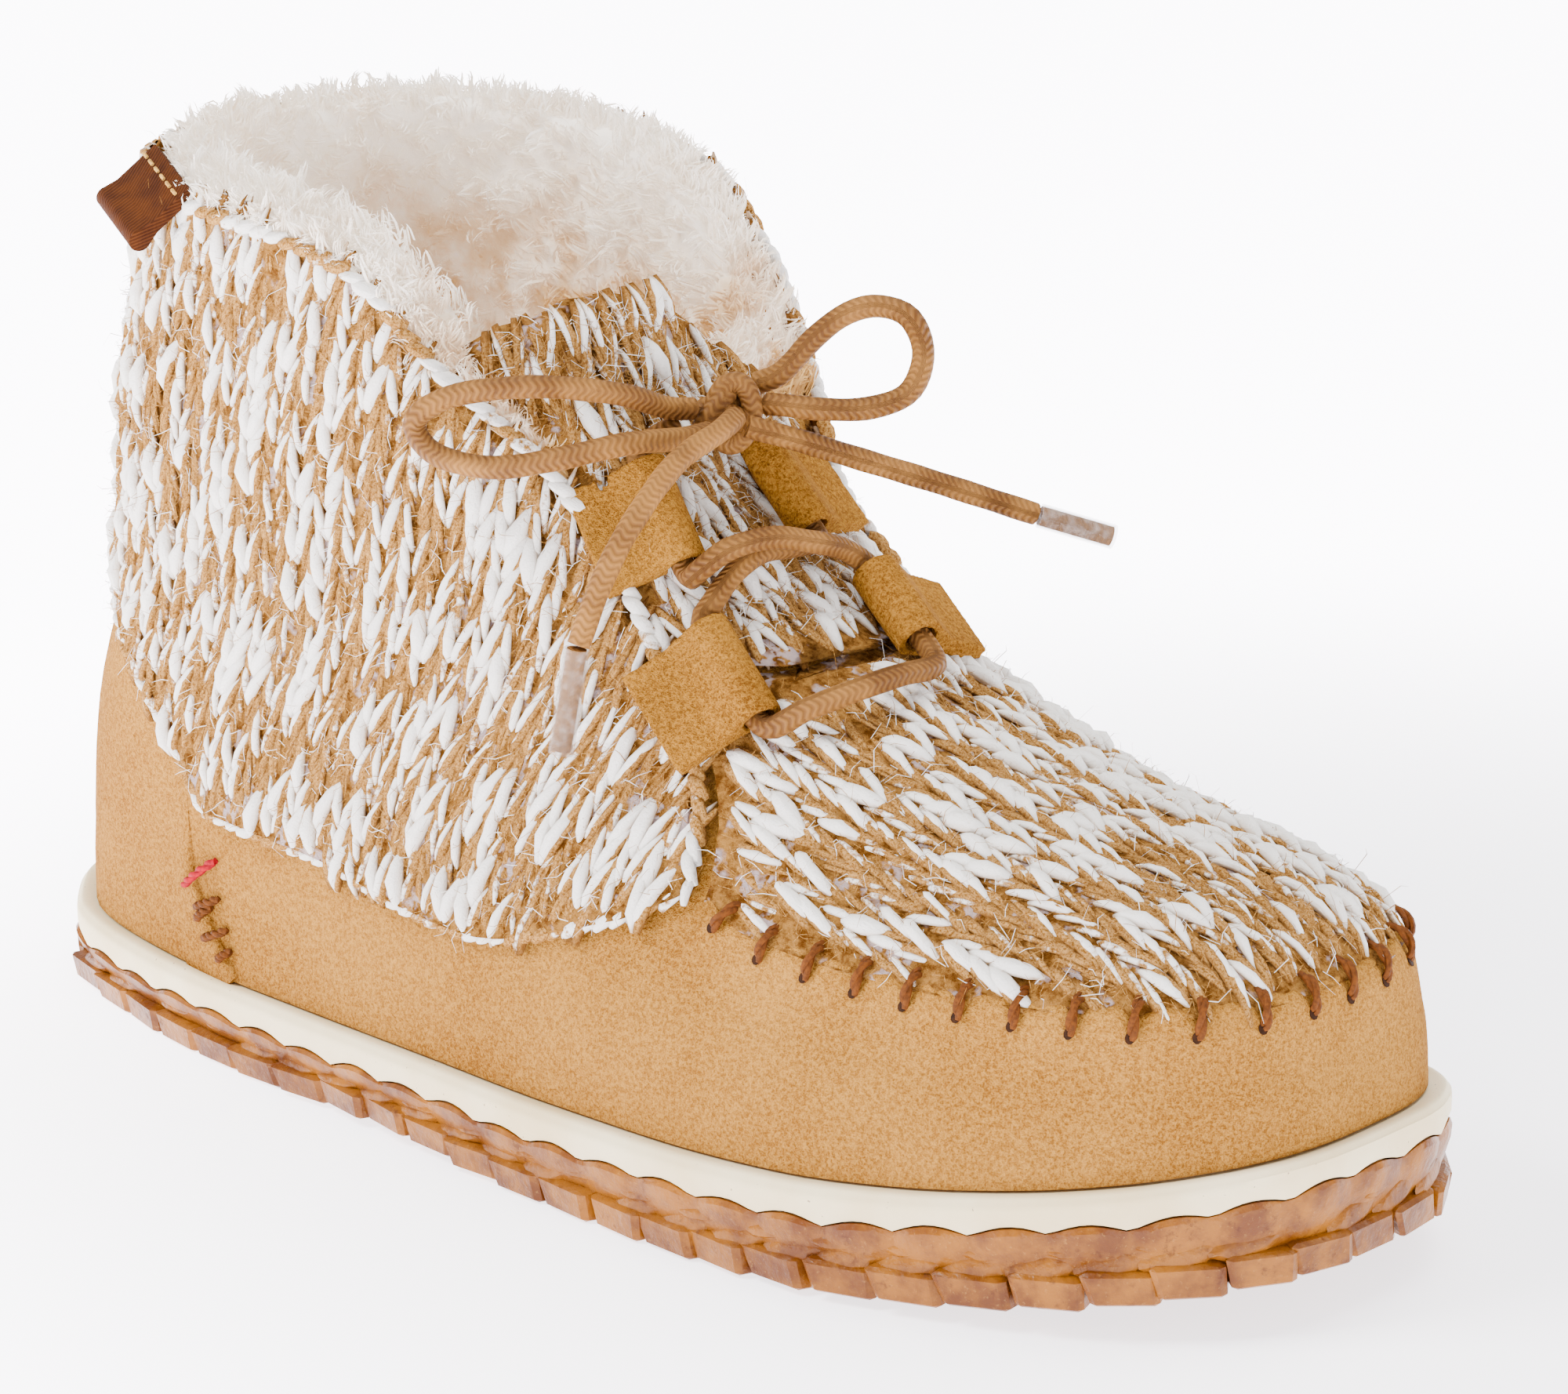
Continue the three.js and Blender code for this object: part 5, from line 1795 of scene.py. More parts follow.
    def edge_rope(self, name: str, run: Array, normals: Array, radius: float, seed: int) -> bpy.types.Object:
        """A row of short slanted stitches along a border.

        Args:
            name: Name of the piece.
            run: Places of the border.
            normals: Outward direction at each place.
            radius: Thickness of the yarn.
            seed: Seed of its yarn.

        Returns:
            The border's object.
        """
        rng = np.random.default_rng(seed)
        gone = measure(run)
        pitch, start = 3.1, 0
        rings, sides = 6, 7
        points, faces, slub, along, around = [], [], [], [], []
        turn = np.linspace(0, 2 * np.pi, sides, endpoint=False)
        for k, s in enumerate(np.arange(pitch, gone[-1] - pitch, pitch)):
            at = lambda d, data: np.array([np.interp(s + d, gone, data[:, i]) for i in range(3)])
            tangent = at(1.5, run) - at(-1.5, run)
            tangent /= np.linalg.norm(tangent)
            normal = at(0, normals)
            normal /= np.linalg.norm(normal)
            across = np.cross(normal, tangent)
            q = np.linspace(-1, 1, rings)
            centre = (
                at(0, run)
                + tangent * (q * pitch * 0.72)[:, None]
                + across * (q * radius * 0.75)[:, None]
                + normal * ((1 - q**2) * radius * 0.75 + 0.1)[:, None]
            )
            thick = radius * rng.uniform(0.75, 1.2) * (1 - 0.42 * q**2)
            points.append(tube_rings(centre, thick, sides).reshape(-1, 3))
            faces += tube_faces(rings, sides, start)[:-2]
            start += rings * sides
            white = np.clip(0.5 + 0.5 * math.sin(k * 0.9 + rng.uniform(-1, 1)), 0, 1)
            slub.append(np.full(rings * sides, white))
            along.append(np.repeat(q * 3 + rng.uniform(0, 9), sides))
            around.append(np.tile(turn / (2 * np.pi), rings))
        obj = Bench.mesh(name, np.vstack(points), np.array(faces))
        for key, values in (("slub", slub), ("along", along), ("around", around), ("deep", [np.zeros(start)])):
            Bench.paint(obj, key, np.concatenate(values))
        Bench.soft(obj)
        return obj

    def on_side(self, side: Side, line: Array, offset: float) -> tuple[Array, Array]:
        """Places and normals of a side-view line on one side of the form."""
        step = 0.6
        x, z = line[:, 0], line[:, 1]
        y = self.last.side_y(side, x, z)
        gx = (self.last.side_y(side, x + step, z) - self.last.side_y(side, x - step, z)) / (2 * step)
        gz = (self.last.side_y(side, x, z + step) - self.last.side_y(side, x, z - step)) / (2 * step)
        n = np.column_stack([-gx, np.full(len(x), 1.0), -gz])
        n /= np.linalg.norm(n, axis=1)[:, None]
        p = np.column_stack([x, y, z]) + n * offset
        p[:, 1] *= side.value
        n[:, 1] *= side.value
        return p, n

    def ground(self, node: str, name: str, shrink: float) -> bpy.types.Object:
        """The shaded ground of a panel, a little thinner than its CAD layer."""
        obj = Bench.copy_node(node, name)
        Bench.pick(obj)
        bpy.ops.object.mode_set(mode="EDIT")
        bpy.ops.mesh.select_all(action="SELECT")
        bpy.ops.transform.shrink_fatten(value=-shrink * MM)
        bpy.ops.object.mode_set(mode="OBJECT")
        Bench.smooth(obj, 35)
        return obj

    def quarter_outline(self) -> Array:
        """Side-view outline of the quarters."""
        n = self.last.lines
        return np.vstack([
            drawn([*n.collar, *n.throat, *n.quarter_front]),
            drawn(n.quarter_bottom),
            drawn(n.counter),
        ])

    def quarters(self) -> None:
        """The two sides and the back of the shaft."""
        outline = self.quarter_outline()
        n = self.last.lines
        for side in Side:
            patch = shaft_patch(self.last, side, 34, 146, 190)
            tag = side.name.lower()
            obj = self.panel(f"quarter_knit_{tag}", patch, outline, (0, 186, 35.5, 146), 11 + side.value)
            Bench.finish(obj, "marl_knit", [self.finishes.yarn])
            bottom = np.vstack([drawn(n.quarter_front[1:]), drawn(n.quarter_bottom), drawn(n.counter[:-1])])
            run, normal = self.on_side(side, evenly(bottom, 120), 0.9)
            rope = self.edge_rope(f"quarter_edge_{tag}", run, normal, 1.0, 31)
            Bench.finish(rope, "marl_knit", [self.finishes.yarn])
            front = evenly(drawn([*n.collar[1:], *n.throat, *n.quarter_front]), 160)
            run, normal = self.on_side(side, front, 2.3)
            rope = self.edge_rope(f"collar_edge_{tag}", run, normal, 1.15, 37)
            Bench.finish(rope, "marl_knit", [self.finishes.yarn])
        ground = self.ground("knit_quarters", "quarter_ground", 0.95)
        Bench.finish(ground, "marl_knit", [self.finishes.backing], ["knit_quarters"])

    def vamp(self) -> None:
        """The plug over the toes and the tongue behind it."""
        n = self.last.lines
        patch = top_patch(self.last, 1.2, 19.4, 66)
        plug = np.vstack([
            drawn(n.quarter_front, 4.2),
            drawn(n.moc_seam),
            [(160, 220)],
            drawn(n.throat_floor, 0, -0.3)[12:][::-1],
        ])
        obj = self.panel("vamp_knit", patch, plug, (-64, 64, 0, patch.v[-1]), 53, flip=-1, margin=2.1)
        Bench.finish(obj, "marl_knit", [self.finishes.yarn])
        tongue = np.vstack([
            drawn(n.throat, 1.0, 0.6),
            drawn(n.throat_floor, 1.0, -1.4)[12:],
            [(160, 220), (n.throat[0][0] + 1, 220)],
        ])
        front = np.array([
            (-36, 60), (36, 60), (29, 100), (18, 116), (11, 124), (4, 129.5), (-4, 132), (-14, 132.5),
            (-24, 129.5), (-31, 124), (-36, 104),
        ], float)
        shape = lambda p: inside(front, p[:, 1], p[:, 2]) & (edge_distance(front, p[:, 1], p[:, 2]) > 1.4)
        obj = self.panel(
            "tongue_knit", self.tongue_patch(), tongue, (-48, 48, 0, 90), 59, keep=shape, flip=-1, margin=0.2
        )
        Bench.finish(obj, "marl_knit", [self.finishes.yarn])
        ground = self.ground("knit_vamp_plug", "vamp_ground", 0.95)
        Bench.finish(ground, "marl_knit", [self.finishes.backing], ["knit_vamp_plug"])
        ground = self.ground("tongue", "tongue_ground", 0.8)
        Bench.finish(ground, "marl_knit", [self.finishes.backing], ["tongue"])

    def tongue_patch(self) -> Patch:
        """Sheet of the tongue, which sinks under the quarters towards its top."""
        patch = top_patch(self.last, 9.5, 19.4, 60)
        ats = np.linspace(9.5, 19.4, 90)
        sink = 3 * smoothstep(10, 18, ats)
        patch.p = patch.p - patch.n * sink[:, None, None]
        return patch

    def build(self) -> None:
        """Builds every panel."""
        self.quarters()
        self.vamp()


@dataclass
class Shearling:
    """The pile inside the collar: a solid band, softened, with tufts."""

    last: Last
    finishes: Finishes
    locks: int = 3400
    blades: int = 10
    tab_front: float = -77
    fringe_inside: float = -5.4
    fringe_outside: float = 1.8

    def band(self) -> bpy.types.Object:
        """The softened band."""
        obj = Bench.copy_node("fur_collar", "fur_band")
        Bench.modify(obj, "REMESH", mode="VOXEL", voxel_size=1.7 * MM)
        Bench.modify(obj, "SMOOTH", factor=0.6, iterations=6)
        co = places_of(obj)
        lump = (
            np.sin(co[:, 0] * 0.31 + co[:, 1] * 0.17) * np.sin(co[:, 2] * 0.29 + co[:, 1] * 0.23)
            + 0.6 * np.sin(co[:, 0] * 0.73 + 1.1) * np.sin(co[:, 2] * 0.81 + co[:, 1] * 0.61)
        )
        normal = np.array([v.normal[:] for v in obj.data.vertices])
        co = co + normal * (lump * 0.45 + 0.35)[:, None]
        Bench.shape(obj, co)
        # painted shade: the band takes a light share of the gold shade
        Bench.paint(obj, "depth", np.full(len(co), 0.3))
        Bench.soft(obj)
        return obj

    def fleece(self, name: str, root: Array, lean: Array, long: Array, seed: int) -> bpy.types.Object:
        """Curved locks of blades that run together at their tips.

        Args:
            name: Name of the piece.
            root: Place of each lock's foot.
            lean: Direction of each lock.
            long: Length of each lock.
            seed: Seed of their curls.

        Returns:
            The locks as one object.
        """
        rng = np.random.default_rng(seed)
        n, k = len(root), self.blades
        lean = unit(lean)
        curl = unit(np.cross(lean, rng.normal(0, 1, (n, 3)))) * rng.uniform(0.2, 1.9, (n, 1))
        spread = rng.normal(0, 0.85, (n, k, 3))
        foot = root[:, None] + spread
        end = (root + lean * long[:, None] + curl)[:, None] + spread * 0.3 + rng.normal(0, 0.3, (n, k, 3))
        bow = lean[:, None] * long[:, None, None] * 0.22 - curl[:, None] * 0.35
        low = foot * 0.66 + end * 0.34 + bow
        high = foot * 0.3 + end * 0.7 + bow * 0.8
        side = unit(np.cross(end - foot, rng.normal(0, 1, (n, k, 3))))
        wide = rng.uniform(0.1, 0.24, (n, k, 1))
        points = np.stack(
            [
                foot - side * wide, foot + side * wide, low - side * wide, low + side * wide,
                high - side * wide * 0.6, high + side * wide * 0.6, end,
            ],
            2,
        ).reshape(-1, 3)
        start = np.arange(n * k)[:, None] * 7
        faces = [
            *(start + np.array([0, 1, 3, 2])).tolist(),
            *(start + np.array([2, 3, 5, 4])).tolist(),
            *(start + np.array([4, 5, 6])).tolist(),
        ]
        made = Bench.mesh(name, points, faces)
        # painted shade: each blade darkens towards its root, by an amount that differs from lock to lock
        tone = np.repeat(rng.uniform(-0.15, 0.35, n), k)[:, None] + np.array([0.6, 0.6, 0.35, 0.35, 0.1, 0.1, -0.1])
        Bench.paint(made, "depth", tone.ravel())
        Bench.soft(made)
        return made

    def inside_pile(self, obj: bpy.types.Object) -> bpy.types.Object:
        """Locks all over the band's open side and rim."""
        rng = np.random.default_rng(5)
        faces = obj.data.polygons
        centres = np.array([f.center[:] for f in faces]) / MM - CENTRING
        normals = np.array([f.normal[:] for f in faces])
        area = np.array([f.area for f in faces])
        middle = np.array([-55.0, 3.0, 0.0])
        inward = np.sum(normals * (middle - centres * [1, 1, 0]), axis=1) > 0
        rim = normals[:, 2] > 0.35
        use = (inward | rim) & (centres[:, 2] > 88)
        weight = area * use * np.where(rim, 2.0, 1.0)
        chosen = rng.choice(len(faces), self.locks, p=weight / weight.sum())
        root = centres[chosen] + rng.normal(0, 0.7, (self.locks, 3)) - normals[chosen] * 0.8
        sweep = np.column_stack([
            np.sin(centres[chosen, 2] * 0.13), np.cos(centres[chosen, 0] * 0.11), np.full(self.locks, 0.9)
        ])
        lean = normals[chosen] * 0.75 + sweep * 0.35 + rng.normal(0, 0.28, (self.locks, 3))
        return self.fleece("fur_locks", root, lean, rng.uniform(2.2, 4.4, self.locks), 6)

    def rim_pile(self, knit: Knit, side: Side) -> bpy.types.Object:
        """The white fringe that leans out over the collar's edge."""
        rng = np.random.default_rng(9 + side.value)
        n = self.last.lines
        count = 1500 if side is Side.OUTER else 800
        tilt = 1.0 if side is Side.OUTER else 0.25
        edge = evenly(drawn([*n.collar[1:], *n.throat[:3]]), 240)
        first = int(np.argmax(edge[:, 0] > self.tab_front)) if side is Side.OUTER else 0
        spot = rng.integers(0, len(edge), count)
        place, out = knit.on_side(side, edge, -1.4)
        across = rng.uniform(self.fringe_inside, self.fringe_outside, (count, 1))
        behind_tab = self.fringe_inside + 0.4 * (across - self.fringe_inside)
        across = np.where(spot[:, None] < first, behind_tab, across)
        root = place[spot] + out[spot] * across + rng.normal(0, 0.5, (count, 3))
        root[:, 2] += rng.uniform(-1.2, 0.8, count)
        lean = out[spot] * rng.uniform(0.1, tilt, (count, 1)) + [0, 0, 0.75] + rng.normal(0, 0.3, (count, 3))
        tag = side.name.lower()
        return self.fleece(f"fur_rim_{tag}", root, lean, rng.uniform(2.6, 5.0, count), 12 + side.value)

    def build(self, knit: Knit) -> None:
        """Builds the band, its locks and its fringe."""
        band = self.band()
        pieces = [self.inside_pile(band), *(self.rim_pile(knit, side) for side in Side)]
        Bench.finish(band, "shearling", [self.finishes.pile], ["fur_collar"])
        for piece in pieces:
            Bench.finish(piece, "shearling", [self.finishes.pile])


@dataclass
class Lacing:
    """The lace through its keepers, the bow with its two ends, and their sleeves."""

    finishes: Finishes
    radius: float = 1.8
    sides: int = 14
    sleeve_radius: float = 1.98
    core_radius: float = 1.55
    route: tuple[tuple[float, float, float], ...] = (
        (1.6, -7.4, 113.6), (0.6, -11, 112.6), (0.2, -14.7, 110), (6.9, -16.6, 102.8), (14.4, -19, 95.2),
        (17.6, -19.6, 96.6), (20.2, -16, 99.6), (22.8, -9, 100.4), (25, -2, 98.6), (25.2, 4.4, 96.2),
        (26.4, 8.4, 93.2), (29, 8.5, 91.2), (36.8, 6.2, 86.8), (44.2, 4, 82.8), (46.2, 0.8, 82.2),
        (46, -6, 82.6), (44.4, -14, 81.8), (41, -21.4, 79.8), (35.7, -25.2, 76.8), (27.8, -23.7, 82.8),
        (20.4, -22.2, 88.8), (20.2, -19.6, 92), (19.8, -14, 95.6), (19.6, -8, 97.2), (20.2, -1, 96.8),
        (20.2, 4, 96.4), (18.2, 5.9, 97), (11, 6.3, 103.4), (4.2, 6.8, 109.5),
    )
    loop_outer: tuple[tuple[float, float, float], ...] = (
        (3, -5.3, 116.4), (1.8, -10, 117.3), (0.4, -19, 121), (-5, -31, 123.6), (-14, -38.5, 122.4),
        (-18.6, -42.6, 119.6), (-19.4, -43.2, 116.4), (-15.6, -42, 113), (-7.4, -38.6, 112),
        (0, -32, 113.4), (5.2, -23, 114.8), (6.4, -12, 113.6), (6.4, -5.6, 113.2),
    )
    loop_inner: tuple[tuple[float, float, float], ...] = (
        (5.8, 6.4, 118.6), (9.2, 8.4, 120.6), (12.8, 12, 126.1), (16.6, 15, 129.9), (20.4, 18, 131.2),
        (25.1, 20, 129.8), (27.1, 21, 124.3), (26.9, 18, 118.7), (23.3, 13, 116.5), (18.4, 8, 116.4),
        (12.6, 5, 116.6), (9.8, 4.4, 116.4),
    )
    end_outer: tuple[tuple[float, float, float], ...] = (
        (10, -3.4, 115.8), (12, -9, 115.2), (13, -20, 112.6), (15, -32, 106), (14.6, -38, 98.5),
        (13.6, -42.4, 89),
    )
    sleeve_outer: tuple[tuple[float, float, float], ...] = ((13.5, -42.6, 88.5), (12, -44.8, 72.2))
    end_inner: tuple[tuple[float, float, float], ...] = (
        (10.6, -1.4, 114.2), (15, 5, 111.6), (19.2, 16, 106.8), (25.1, 28, 101.5), (33.2, 41, 95.4),
    )
    sleeve_inner: tuple[tuple[float, float, float], ...] = ((33.6, 41.6, 95.1), (41.4, 50.4, 91.2))
    knot: tuple[float, float, float] = (4.6, 0.6, 115.4)
    # each turn's width, height and depth, its tilt, and its shift across, up and nearer
    turns: tuple[tuple[float, ...], ...] = (
        (2.9, 4.7, 0.9, -0.12, 1.0, -0.7, 2.0),
        (4.1, 0.0, 3.3, 0.95, -1.6, 0.0, 0.0),
        (3.6, 0.0, 3.0, -0.5, 1.2, -1.2, 0.0),
    )

    def cord(
        self, name: str, points: Sequence[tuple[float, float, float]], radius: float, step: float = 1.3
    ) -> tuple[bpy.types.Object, Array]:
        """A round cord along a route.

        Args:
            name: Name of the piece.
            points: Places of the route.
            radius: The cord's radius.
            step: Length of a stretch.

        Returns:
            The object and the places it follows.
        """
        rough = spline(points, 200)
        long = np.linalg.norm(np.diff(rough, axis=0), axis=1).sum()
        run = spline(points, max(4, int(long / step)))
        sides = self.sides
        wobble = 1 + 0.02 * np.sin(np.arange(len(run)) * 0.9)
        rings = tube_rings(run, radius * wobble, sides)
        obj = Bench.mesh(name, rings.reshape(-1, 3), np.array(tube_faces(len(run), sides)[:-2]))
        Bench.close(obj)
        turn = np.tile(np.arange(sides) / sides, len(run))
        Bench.paint(obj, "around", turn)
        Bench.paint(obj, "along", np.repeat(np.arange(len(run)) * step, sides))
        Bench.smooth(obj, 50)
        return obj, run

    def declare(self, run: Array) -> None:
        """Works out the places of a free stretch of the lace in metres, and keeps nothing."""
        tuple(metres(run[0]))
        [tuple(p) for p in metres(run)]

    def knot_piece(self) -> bpy.types.Object:
        """The knot: three turns of the cord round a core."""
        k = np.array(self.knot)
        t = np.linspace(0, 2 * np.pi, 40)
        out = np.array(Studio().back())
        right = np.array([0.744, 0.668, 0.0])
        up = np.cross(out, right)
        parts = []
        for i, (wide, tall, deep, tilt, dx, dz, near) in enumerate(self.turns):
            level = np.cos(t) * wide * math.cos(tilt) - np.sin(t) * tall * math.sin(tilt) + dx
            climb = np.cos(t) * wide * math.sin(tilt) + np.sin(t) * tall * math.cos(tilt) + dz
            run = k + np.outer(level, right) + np.outer(climb, up) + np.outer(np.sin(t) * deep + near, out)
            rings = tube_rings(run, 1.75, 12)
            obj = Bench.mesh(f"knot_turn_{i}", rings.reshape(-1, 3), np.array(tube_faces(len(run), 12)[:-2]))
            Bench.close(obj)
            Bench.paint(obj, "around", np.tile(np.arange(12) / 12, len(run)))
            Bench.paint(obj, "along", np.repeat(np.arange(len(run)) * 0.7, 12))
            parts.append(obj)
        core_run = np.array([k + right * a for a in np.linspace(-4.6, 4.6, 9)])
        rings = tube_rings(core_run, 2.6 * np.sqrt(1 - np.linspace(-0.86, 0.86, 9) ** 2), 12)
        core = Bench.mesh("knot_core", rings.reshape(-1, 3), np.array(tube_faces(9, 12)[:-2]))
        Bench.close(core)
        Bench.paint(core, "around", np.tile(np.arange(12) / 12, 9))
        Bench.paint(core, "along", np.repeat(np.arange(9) * 1.2, 12))
        Bench.clear()
        for part in [*parts, core]:
            part.select_set(True)
        bpy.context.view_layer.objects.active = core
        bpy.ops.object.join()
        core.name = "bow_knot_turns"
        Bench.smooth(core, 60)
        return core

    def sleeve(self, name: str, points: Sequence[tuple[float, float, float]]) -> list[bpy.types.Object]:
        """A clear sleeve with the cord's end inside it."""
        run = spline(points, 10)
        places = tube_rings(run, self.sleeve_radius, 16).reshape(-1, 3)
        shell = Bench.mesh(name, places, np.array(tube_faces(11, 16)[:-2]))
        Bench.modify(shell, "SOLIDIFY", thickness=0.25 * MM, offset=-1)
        Bench.smooth(shell, 50)
        inner_run = run[0] + (run[-1] - run[0]) * np.linspace(0, 0.97, 11)[:, None]
        places = tube_rings(inner_run, self.core_radius, self.sides).reshape(-1, 3)
        core = Bench.mesh(f"{name}_core", places, np.array(tube_faces(11, self.sides)[:-2]))
        Bench.close(core)
        Bench.paint(core, "around", np.tile(np.arange(self.sides) / self.sides, 11))
        Bench.paint(core, "along", np.repeat(np.arange(11) * 1.6, self.sides))
        Bench.smooth(core, 50)
        return [shell, core]

    def build(self) -> None:
        """Builds the lace, the bow and the sleeves."""
        f = self.finishes
        lace, _ = self.cord("lace_cord", self.route, self.radius)
        Bench.finish(lace, "lace_cord", [f.cord], ["lace"])
        knot = Bench.finish(self.knot_piece(), "lace_cord", [f.cord], ["bow_knot"])
        outer, outer_run = self.cord("bow_loop_outer_cord", self.loop_outer, self.radius)
        Bench.finish(outer, "lace_cord", [f.cord], ["bow_loop_outer"])
        self.declare(outer_run)
        inner, inner_run = self.cord("bow_loop_inner_cord", self.loop_inner, self.radius)
        Bench.finish(inner, "lace_cord", [f.cord], ["bow_loop_inner"])
        self.declare(inner_run)
        for tag, points, sleeve in (
            ("outer", self.end_outer, self.sleeve_outer),
            ("inner", self.end_inner, self.sleeve_inner),
        ):
            end, run = self.cord(f"lace_end_{tag}_cord", points, self.radius)
            Bench.finish(end, "lace_cord", [f.cord], [f"lace_end_{tag}"])
            shell, core = self.sleeve(f"sleeve_{tag}", sleeve)
            Bench.finish(shell, "clear_sleeve", [f.sleeve], [f"aglet_{tag}"])
            Bench.finish(core, "lace_cord", [f.cord])
            self.declare(run)


@dataclass
class Straps:
    """The folded suede keepers and the woven tab."""

    finishes: Finishes

    def keeper(self, node: str) -> None:
        """One keeper: the CAD strap, softened at its edges."""
        obj = Bench.copy_node(node, f"{node}_suede")
        Bench.modify(obj, "REMESH", mode="VOXEL", voxel_size=0.36 * MM)
        Bench.modify(obj, "SMOOTH", factor=0.5, iterations=2)
        Bench.pick(obj)
        bpy.ops.object.shade_smooth()
        Bench.finish(obj, "suede_trim", [self.finishes.trim], [node])

    def tab(self) -> None:
        """The woven tab with its dashed stitch line."""
        obj = Bench.copy_node("side_tab", "side_tab_ribbon")
        Bench.modify(obj, "BEVEL", width=0.35 * MM, segments=2, limit_method="ANGLE")
        Bench.smooth(obj, 40)
        Bench.finish(obj, "woven_tab", [self.finishes.ribbon], ["side_tab"])
        start, end = np.array([-87.3, -34.9, 147.8]), np.array([-72.2, -42.0, 144.4])
        dashes = []
        for k in range(6):
            share = np.linspace(k / 6 + 0.03, k / 6 + 0.12, 7)[:, None]
            arch = np.sin(np.linspace(0, np.pi, 7))[:, None] * np.array([-0.03, -0.16, 0.19])
            dashes.append(cord_piece(f"tab_dash_{k}", start + (end - start) * share + arch, 0.3, 8))
        joined = Bench.join(dashes, "tab_stitches")
        Bench.finish(joined, "suede_trim", [self.finishes.gold])

    def build(self) -> None:
        """Builds the keepers and the tab."""
        for node in ("keeper_outer_upper", "keeper_outer_lower", "keeper_inner_upper", "keeper_inner_lower"):
            self.keeper(node)
        self.tab()


@dataclass
class Sewing:
    """The suede lip with its whip stitches, the side seams and their bar tacks."""

    knit: Knit
    finishes: Finishes
    pitch: float = 8.9
    lip: tuple[tuple[float, float], ...] = (
        # across from the edge, height
        (-12, 0.02), (-8.5, 0.45), (-5.5, 1.15), (-3.4, 1.85), (-1.7, 2.35), (-0.4, 2.5), (0.4, 2.1),
        (0.7, 1.2), (0.6, 0.0), (-3, -0.5), (-12, -0.5),
    )
    whip: tuple[tuple[float, float], ...] = (
        (-3.7, -0.7), (-3.5, 0.9), (-3.0, 2.35), (-1.6, 3.2), (-0.1, 3.35), (1.1, 2.9), (1.9, 1.6), (2.1, 0.2),
    )
    side_seam: tuple[tuple[float, float], ...] = (
        (-79.9, 43), (-78.6, 30.4), (-76.1, 25.7), (-71.4, 19.6), (-67.3, 15.3),
    )
    lap: tuple[tuple[float, float], ...] = (
        (-0.2, -0.3), (0.0, 0.55), (0.6, 0.95), (2.2, 0.9), (6.5, 0.5), (12, 0.03), (12, -0.4), (2, -0.5),
    )

    def seam(self) -> tuple[Array, Array, Array, Array]:
        """Places, normals, directions up over the edge, and run of the vamp's seam."""
        n = self.knit.last.lines
        line = Line([r[0] for r in n.moc_seam], [r[1] for r in n.moc_seam])
        self.surface = Surface(self.knit.last)
        run = self.surface.contour(line, n.moc_seam[0][0] + 0.6, 420)
        for _ in range(3):
            run[1:-1] = (run[:-2] + run[1:-1] + run[2:]) / 3
        place, normal = self.surface.lay(run)
        up = unit(np.cross(normal, np.gradient(place, axis=0)))
        gone = measure(place)
        return place, normal, up, gone

    def on_seam(self, seam: tuple[Array, ...], run: Array, across: Array, height: Array) -> Array:
        """Places at a run along the seam, across it and above the suede."""
        place, _, up, gone = seam
        at = lambda data: np.stack([np.interp(run, gone, data[:, k]) for k in range(3)], -1)
        return self.surface.lay(at(place) + unit(at(up)) * across[:, None], height)[0]

    def vamp_seam(self) -> None:
        """The padded lip, the twisted whip stitches over it and their holes."""
        seam = self.seam()
        total = seam[3][-1]
        spots = np.arange(2.6, total - 1, total / round(total / self.pitch))
        runs = np.linspace(0, total, 420)
        dip = np.exp(-(((runs[:, None] - spots) / 1.25) ** 2)).sum(1)
        wave = 0.22 * np.sin(runs * 0.83) + 0.16 * np.sin(runs * 1.9 + 1)
        rows = []
        for across, height in self.lip:
            weight = float(smoothstep(-4.5, -0.5, across)) * (height > 0)
            rows.append(
                self.on_seam(seam, runs, across - (0.85 * dip - wave) * weight, height - 0.75 * dip * weight)
            )
        lip = Bench.grid("seam_lip", np.array(rows).transpose(1, 0, 2), wrap=True)
        Bench.close(lip)
        Bench.smooth(lip, 60)
        Bench.finish(lip, "suede", [self.finishes.suede])
        threads, holes = [], []
        profile = spline(self.whip, 15)
        share = np.linspace(-1, 1, 16)
        for k, spot in enumerate(spots):
            run = self.on_seam(seam, spot + share * 0.75, profile[:, 0], profile[:, 1])
            threads += self.twisted(f"whip_{k}", run, 0.52, 0.38, 1.4)
            hole = self.on_seam(seam, np.array([spot - 0.7]), np.array([-3.6]), np.array([0.0]))
            normal = self.surface.lay(hole)[1][0]
            ring = self.surface.lay(hole)[0][0]
            holes.append(self.disc(f"hole_{k}", ring + normal * 1.9, normal, 0.9))
        Bench.finish(Bench.join(threads, "whip_stitches"), "suede_trim", [self.finishes.whip])
        Bench.finish(Bench.join(holes, "stitch_holes"), "suede", [self.finishes.hole])

    def twisted(self, name: str, run: Array, radius: float, offset: float, turns: float) -> list[bpy.types.Object]:
        """Two strands wound round each other along places."""
        cross = tube_rings(run, np.ones(len(run)), 4) - run[:, None]
        angle = np.linspace(0, 2 * np.pi * turns, len(run))[:, None]
        made = []
        for k in range(2):
            swing = cross[:, 0] * np.cos(angle + np.pi * k) + cross[:, 1] * np.sin(angle + np.pi * k)
            made.append(cord_piece(f"{name}_{k}", run + swing * offset, radius, 6))
        return made

    def disc(self, name: str, place: Array, normal: Array, radius: float) -> bpy.types.Object:
        """A small dark disc on the suede, painted shade standing in for a stitch hole."""
        turn = Vector(normal).to_track_quat("Z", "Y").to_matrix()
        t = np.linspace(0, 2 * np.pi, 10, endpoint=False)
        flat = np.column_stack([np.cos(t) * radius * 0.8, np.sin(t) * radius, np.zeros(10)])
        obj = Bench.mesh(name, flat @ np.array(turn).T + place, np.arange(10)[None])
        Bench.modify(obj, "SOLIDIFY", thickness=0.25 * MM, offset=0)
        return obj

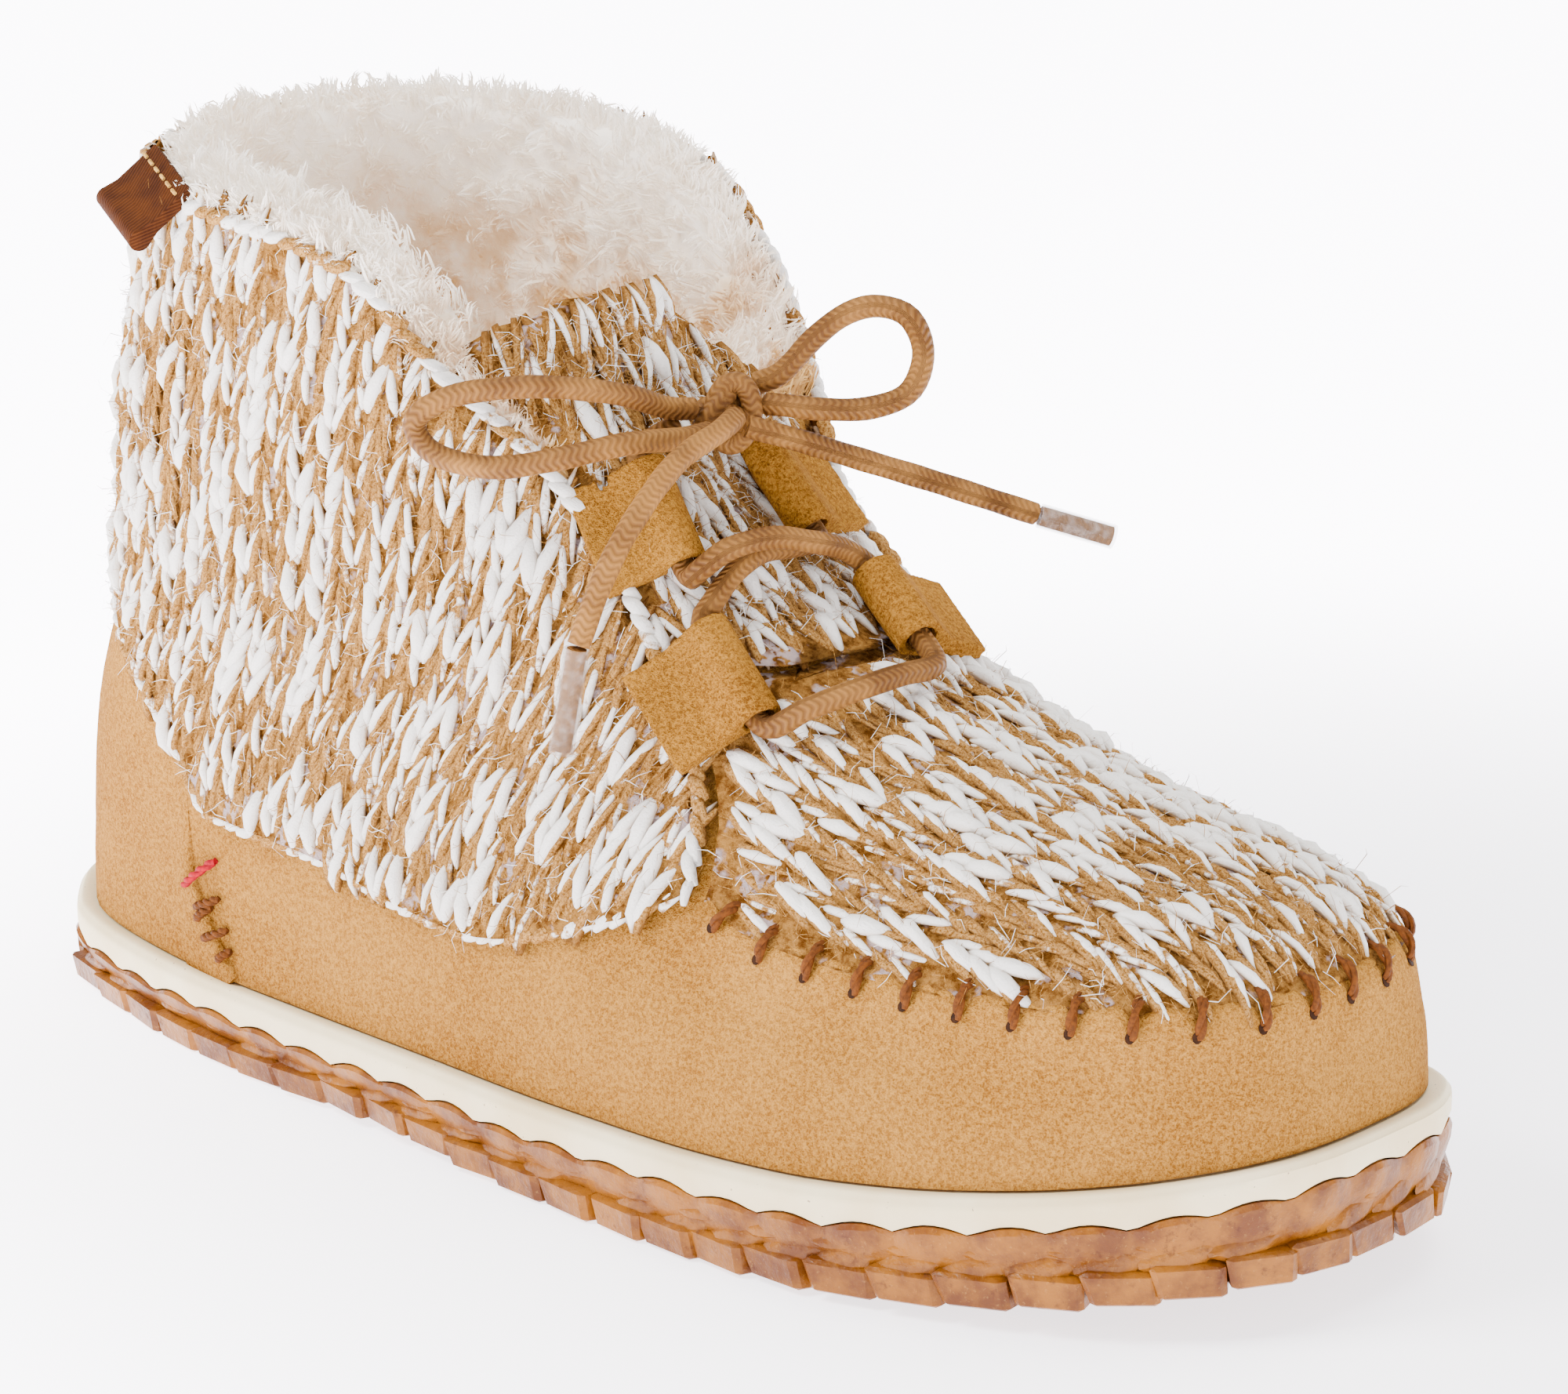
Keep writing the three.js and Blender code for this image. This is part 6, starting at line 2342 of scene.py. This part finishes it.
    def side_lap(self, side: Side) -> None:
        """The heel piece's raised edge with its bar tacks."""
        line = spline(self.side_seam, 26)
        back = np.gradient(line, axis=0)
        back = unit(np.column_stack([back[:, 1], -back[:, 0]]))
        back *= -np.sign(back[:, :1])
        rows = []
        full = smoothstep(-0.1, 0.45, np.linspace(0, 1, len(line)))[:, None]
        for across, height in self.lap:
            reach = across * (0.15 + 0.85 * full) if across > 1 else across
            place, normal = self.knit.on_side(side, line + back * reach, 0.0)
            rows.append(place + normal * (height * full if height > 0 else height))
        tag = side.name.lower()
        obj = Bench.grid(f"side_lap_{tag}", np.array(rows).transpose(1, 0, 2), wrap=True)
        Bench.close(obj)
        Bench.smooth(obj, 50)
        Bench.finish(obj, "suede", [self.finishes.suede])
        for name, finish, ends in (
            ("red", self.finishes.tack, (((-81, 27.3), (-72.1, 33.9)),)),
            ("brown", self.finishes.whip, (
                ((-77.7, 24.6), (-71.5, 27.5)), ((-75.8, 19.7), (-69.4, 22.7)), ((-77.4, 22.6), (-73.6, 25.6)),
                ((-71.6, 17.2), (-68.6, 19.4)),
            )),
        ):
            parts = []
            for k, (a, b) in enumerate(ends):
                share = np.linspace(0, 1, 14)[:, None]
                flat = np.array(a) * (1 - share) + np.array(b) * share
                place, normal = self.knit.on_side(side, flat, 0.0)
                height = 1.5 * np.sin(np.pi * np.linspace(0.04, 0.96, 14))[:, None] ** 0.5 - 0.1
                parts += self.twisted(f"{name}_{k}", place + normal * height, 0.48, 0.34, 2.2)
            Bench.finish(Bench.join(parts, f"{name}_tacks_{tag}"), "suede_trim", [finish])

    def build(self) -> None:
        """Builds the sewing."""
        self.vamp_seam()
        for side in Side:
            self.side_lap(side)


def main() -> None:
    """Loads the frame and dresses the boot."""
    logging.basicConfig(level=logging.INFO)
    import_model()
    Bench.clear()
    studio = Studio()
    studio.camera()
    finishes = Finishes()
    sole_lines = SoleLines()
    last = Last(LastLines(), sole_lines)
    Lacing(finishes).build()
    Sole(sole_lines, finishes).build()
    Foot(last, finishes).build()
    knit = Knit(last, finishes)
    knit.build()
    Shearling(last, finishes).build(knit)
    Straps(finishes).build()
    Sewing(knit, finishes).build()
    studio.light()
    studio.floor()


if __name__ == "__main__":
    main()
